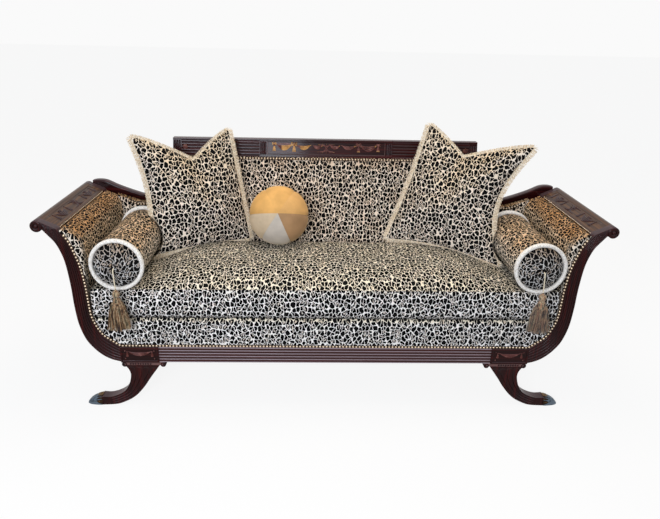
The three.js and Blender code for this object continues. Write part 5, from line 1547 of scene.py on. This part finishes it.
for side_name, side in sides:
    body, look = f"tassel_{side_name}", tassel_looks[side_name]
    route = cord_route + [bolster_x[side_name], cord_start_y, bolster_z]
    x, y, top = route[-1] - [0, 0, gap]
    shape = bmesh.new()
    wide = head_radius + winding
    panel(shape, at(x + wide * np.cos(head_turns), y + wide * np.sin(head_turns), top + head_down))
    head_piece = new_piece(f"tassel_head_{side_name}", shape, [look], body, body, sharp=80)

    shape = bmesh.new()
    rng = np.random.default_rng(7 + (side > 0))
    layer = rng.random(threads)[:, None] ** 0.5
    turn = rng.random(threads)[:, None] * 2 * math.pi
    bent = turn + rng.normal(0, 0.09, threads)[:, None] * down
    spread = (skirt_wide + hem_wide * down**0.55) * layer
    thread_length = skirt_length + skirt_uneven * rng.random(threads)[:, None]
    drop = skirt_start + thread_length * down * (1 - 0.03 * (1 - layer))
    thread_x = (x + spread * np.cos(bent))[..., None] + thread_ring[:, 0]
    thread_y = (y + spread * (1 - 0.42 * down) * np.sin(bent))[..., None] + thread_ring[:, 1]
    repeated(shape, at(thread_x, thread_y, (top - drop)[..., None]))
    new_piece(f"tassel_skirt_{side_name}", shape, [look], body, body, sharp=80)

    shape = bmesh.new()
    skin(shape, all_at(route[:, None] + strands[..., None] * round_cord))
    stands_for = f"tassel_cord_{side_name}"
    cord = new_piece(f"twisted_cord_{side_name}", shape, [cream_cord], stands_for, body, sharp=80)
    path = all_at(route)

# %% [markdown]
# ## Square pillows
#
# Each pillow is two squares of cloth sewn together and filled with down. Its corners stand out like
# ears, because the filling never reaches them, and the top is dented by a blow of the hand, the
# fashion for down pillows. The two sheets are grids in the pillow's own plane, and the cloth's cut
# is that plane. They are pushed clear of the bolster, the cushion and the back that they lean on.

# %% Pillows
pillow_size, pillow_loft, pillow_edge, pillow_fullness, pillow_lean = 500, 165, 7, 0.6, 12
pillow_shapes = {
    "left": {
        "turn": 25, "middle": (320 - cushion_half, back_foot - 78, boxing_top + 269),
        "corners": [[-0.396, -0.5], [0.472, -0.46], [0.368, 0.49], [-0.444, 0.478]],
        "dips": {"bottom": 0.02, "right": 0, "chop": 0.232, "left": 0.076}, "chop_at": 0.6,
    },
    "right": {
        "turn": -25.5, "middle": (cushion_half - 323, back_foot - 103, boxing_top + 275),
        "corners": [[-0.606, -0.462], [0.402, -0.548], [0.542, 0.45], [-0.338, 0.56]],
        "dips": {"bottom": 0.05, "right": 0.17, "chop": 0.21, "left": 0.02}, "chop_at": 0.36,
    },
}


def pillow_plane(form, u, v):
    """A place on a pillow's middle sheet, in mm from its own middle."""
    a, b, c, d = np.array(form["corners"])
    low = a + (b - a) * u[..., None]
    high = d + (c - d) * u[..., None]
    place = low + (high - low) * v[..., None]
    wide, tall, dips = np.sin(np.pi * u), np.sin(np.pi * v), form["dips"]
    chop = np.minimum(u / form["chop_at"], (1 - u) / (1 - form["chop_at"])) ** 1.25
    place[..., 1] += dips["bottom"] * wide * (1 - v) ** 2 - dips["chop"] * chop * v**2
    place[..., 0] += dips["left"] * tall * (1 - u) ** 2 - dips["right"] * tall * u**2
    return place * pillow_size


def stood_up(form, plane, out):
    """Leans a pillow back, turns it and puts it in its place, in mm."""
    lean_turn, turn = math.radians(pillow_lean), math.radians(form["turn"])
    across_it, up = plane[..., 0], plane[..., 1]
    y = out * math.cos(lean_turn) + up * math.sin(lean_turn)
    z = up * math.cos(lean_turn) - out * math.sin(lean_turn)
    x = across_it * math.cos(turn) - y * math.sin(turn)
    y = across_it * math.sin(turn) + y * math.cos(turn)
    return np.stack([x, y, z], axis=-1) + form["middle"]


def pressed(name, places, clearance):
    """Pushes places in mm out of the bolster, up from the cushion and forward from the back."""
    x, y, z = places[..., 0], places[..., 1], places[..., 2]
    away_x, away_z = x - bolster_x[name], z - bolster_z
    reach, limit = np.hypot(away_x, away_z), trim_radius + clearance
    inside = (y > bolster_front - 2) & (y < bolster_front + bolster_length + 2) & (reach < limit)
    push = limit / np.maximum(reach, 1)
    x = np.where(inside, bolster_x[name] + away_x * push, x)
    z = np.where(inside, bolster_z + away_z * push, z)
    z = np.maximum(z, crown_height(x, y) + clearance)
    return np.stack([x, np.minimum(y, back_face(z) - clearance), z], axis=-1)


ear_folds, ear_place, dent_deep, dent_wide = 2.6, 0.24, 0.45, 0.11
share = close_at_ends(64, 0.5)
u, v = np.meshgrid(share, share)
fill = (np.sin(np.pi * u) * np.sin(np.pi * v)) ** pillow_fullness
folds = 0
for corner_u, corner_v, seed in ((0, 0, 1), (1, 0, 2), (1, 1, 3), (0, 1, 4)):
    du, dv = np.abs(u - corner_u), np.abs(v - corner_v)
    turn = np.arctan2(dv, du)
    ear = ear_folds * np.exp(-((np.hypot(du, dv) - ear_place) ** 2) / 0.02)
    folds = folds + ear * np.sin(turn * (11 + seed) + seed) * np.sin(2 * turn)
for side_name, side in sides:
    form = pillow_shapes[side_name]
    plane = pillow_plane(form, u, v)
    dent = 1 - dent_deep * np.exp(-(((u - form["chop_at"]) / dent_wide) ** 2)) * smooth(0.35, 0.95, v)
    even_loft = (pillow_edge + (pillow_loft - pillow_edge) * fill * dent) / 2
    shape = bmesh.new()
    for way, seed, clearance, shift in ((-1, 3.0, 1.5 + 3.5 * fill, 0), (1, 6.0, 1.5, 2)):
        sheet = np.stack([u, v, np.full_like(u, seed)], axis=-1)
        uneven = folds + soft_noise(sheet, 160, 5.0) + soft_noise(sheet, 60, 1.6)
        loft = even_loft + uneven * np.minimum(fill * 1.6, 1)
        panel(shape, all_at(pressed(side_name, stood_up(form, plane, way * loft), clearance)), plane / 1000 + shift)
    body = f"pillow_{side_name}"
    new_piece(f"square_pillow_{side_name}", shape, [pillow_velvet], body, body, sharp=70)

# %% [markdown]
# The fringe is a brush: thousands of short cotton threads sewn in the seam. Each thread here is a
# narrow blade of three sides, and it leaves the edge a little aslant, as brushed threads do.

# %% Pillow fringes
edge_count, layers, layer_pitch, thread_thick, top_fringe, side_fringe = 260, 4, 1.2, 0.75, 13.0, 21.0
share = np.linspace(0, 1, edge_count, endpoint=False)
edge_u = np.concatenate([share, np.ones(edge_count), 1 - share, np.zeros(edge_count)])
edge_v = np.roll(edge_u, edge_count)
fringe_width = np.tile(np.where(edge_v > 0.999, top_fringe, side_fringe), layers)
count = len(fringe_width)
layer = np.repeat(np.arange(layers) - (layers - 1) / 2, len(edge_u)) * layer_pitch
down, swing = np.array([0, 0.5, 1]), np.radians([90, 210, 330, 450])
thick = thread_thick * (1 - 0.45 * down)
blade_wide, blade_high = thick[:, None] * np.cos(swing), thick[:, None] * np.sin(swing)
for side_name, side in sides:
    form = pillow_shapes[side_name]
    shape = bmesh.new()
    plane = pillow_plane(form, edge_u, edge_v)
    ahead_of = unit(np.roll(plane, -2, axis=0) - np.roll(plane, 2, axis=0))
    out = np.stack([ahead_of[:, 1], -ahead_of[:, 0]], axis=1)
    band = [stood_up(form, plane + out * near, up) for near, up in ((-1.5, -2.4), (3.5, -2.2), (3.5, 2.2), (-1.5, 2.4))]
    ring = pressed(side_name, np.stack(band, axis=1), 1.0)
    skin(shape, all_at(np.concatenate([ring, ring[:1]])))

    rng = np.random.default_rng(11 + (side > 0))
    level = layer + rng.normal(0, 0.5, count)
    slant = rng.normal(0, 0.15, count)[:, None]
    every_out, every_along = np.tile(out, (layers, 1)), np.tile(ahead_of, (layers, 1))
    way = every_out * np.cos(slant) + every_along * np.sin(slant)
    root = np.tile(plane, (layers, 1)) + every_along * rng.normal(0, 1.0, count)[:, None] - way
    reach = fringe_width * (0.84 + 0.2 * rng.random(count)) + 1
    middle = root[:, None] + way[:, None] * (reach[:, None] * down)[..., None]
    beside = np.stack([way[:, 1], -way[:, 0]], axis=1)
    places = middle[:, :, None] + beside[:, None, None] * blade_wide[None, ..., None]
    levels = (level[:, None] * (1 + 0.7 * down))[..., None] + blade_high[None]
    repeated(shape, all_at(pressed(side_name, stood_up(form, places, levels), 1.0)))
    stands_for, body = f"pillow_fringe_{side_name}", f"pillow_{side_name}"
    new_piece(f"brush_fringe_{side_name}", shape, [cream_cotton], stands_for, body, sharp=80)

# %% [markdown]
# ## The ball
#
# The ball is six leaves of gold velvet that meet at the front, turned up a little, and at the back.
# Velvet has a nap, and each leaf is cut with the nap another way, so each one takes the light
# differently, and that light is painted into the leaf's colour. The leaf's number is kept on the mesh,
# and a ramp of constant steps reads it. A painted shade darkens the seams.

# %% Ball
gold_look, node = new_material("gold_velvet")
painted_nap_light = node("ValToRGB", {0: node("Attribute", attribute_name="leaf").outputs["Fac"]})
painted_nap_light.color_ramp.interpolation = "CONSTANT"
# Each leaf's colour paints how its nap takes the light: golden leaves above, pale ones below.
leaf_lit_golds = ("#e4b06c", "#e8b268", "#e6b066", "#d6c0a0", "#ccc2b4", "#b08a62")
colour_stops(painted_nap_light, list(zip((0, 0.16, 0.33, 0.49, 0.66, 0.9), leaf_lit_golds)))
place = node("TexCoord").outputs["Object"]
crushed = node("TexNoise", {"Vector": place, "Scale": 16.0, "Detail": 4.0})
shade = node("MapRange", {0: crushed, 1: 0.3, 2: 0.7, 3: 0.8, 4: 1.06})
pointed = node("NewGeometry").outputs["Pointiness"]
# Painted shade along the seams, where the mesh's pointiness is low.
seam_shade = node("MapRange", {0: pointed, 1: 0.44, 2: 0.49, 3: 0.45, 4: 1.0})
shade = node("Math", {0: shade, 1: seam_shade}, operation="MULTIPLY")
toned = node("VectorMath", {0: painted_nap_light, "Scale": shade}, operation="SCALE")
pile = node("TexNoise", {"Vector": place, "Scale": 800.0, "Detail": 2.0})
bump = node("Bump", {"Height": pile, "Strength": 0.3, "Distance": 0.0005})
velvet = {"Base Color": toned, "Roughness": 0.8, "Specular IOR Level": 0.2, "Normal": bump}
sheen = {"Sheen Weight": 0.45, "Sheen Roughness": 0.35, "Sheen Tint": linear("#ffe3b0")}
node("OutputMaterial", {"Surface": node("BsdfPrincipled", velvet | sheen)})

ball_radius, ball_half_depth, ball_tilt = 127, 111, math.radians(19)
ball_sunk, ball_clear, crease_deep, crease_wide, leaf_swell = 3, 0.6, 4.5, 2.6, 0.6
ball_x, ball_y = -203, back_foot - 85
ball_z = float(crown_height(ball_x, ball_y)) + ball_radius - ball_sunk
seams = np.array([58, 118, 180, 235, 294, 360])
shape = bmesh.new()
for start, end in zip([0, *seams], seams):
    turns, poles = np.meshgrid(np.linspace(start, end, 19), np.linspace(0.4, 179.6, 49), indexing="ij")
    across_part = (turns - start) / (end - start)
    crease = crease_deep * np.exp(-((np.minimum(turns - start, end - turns) / crease_wide) ** 2))
    swell, out = leaf_swell * np.sin(np.pi * across_part), np.sin(np.radians(poles))
    radius = out - (crease * out**0.5 * (poles > 2) - swell * out) / ball_radius
    forward, high = -np.cos(np.radians(poles)), radius * np.sin(np.radians(turns))
    x = ball_x + ball_radius * radius * np.cos(np.radians(turns))
    y = ball_y + ball_half_depth * (forward * math.cos(ball_tilt) + high * math.sin(ball_tilt))
    z = ball_z + ball_radius * (high * math.cos(ball_tilt) - forward * math.sin(ball_tilt))
    z = np.maximum(z, crown_height(x, y) + ball_clear)
    panel(shape, at(x, np.minimum(y, back_face(z) - ball_clear), z))
ball = new_piece("gored_ball", shape, [gold_look], "ball_pillow", "ball_pillow", sharp=80)
leaves = ball.data.attributes.new("leaf", "FLOAT", "FACE")
centre = at(ball_x, ball_y, ball_z)
for face in ball.data.polygons:
    x, y, z = (np.array(face.center) - centre) / (ball_radius, ball_half_depth, ball_radius)
    turn = math.degrees(math.atan2(z * math.cos(ball_tilt) + y * math.sin(ball_tilt), x)) % 360
    leaves.data[face.index].value = (np.searchsorted(seams, turn) + 0.5) / len(seams)
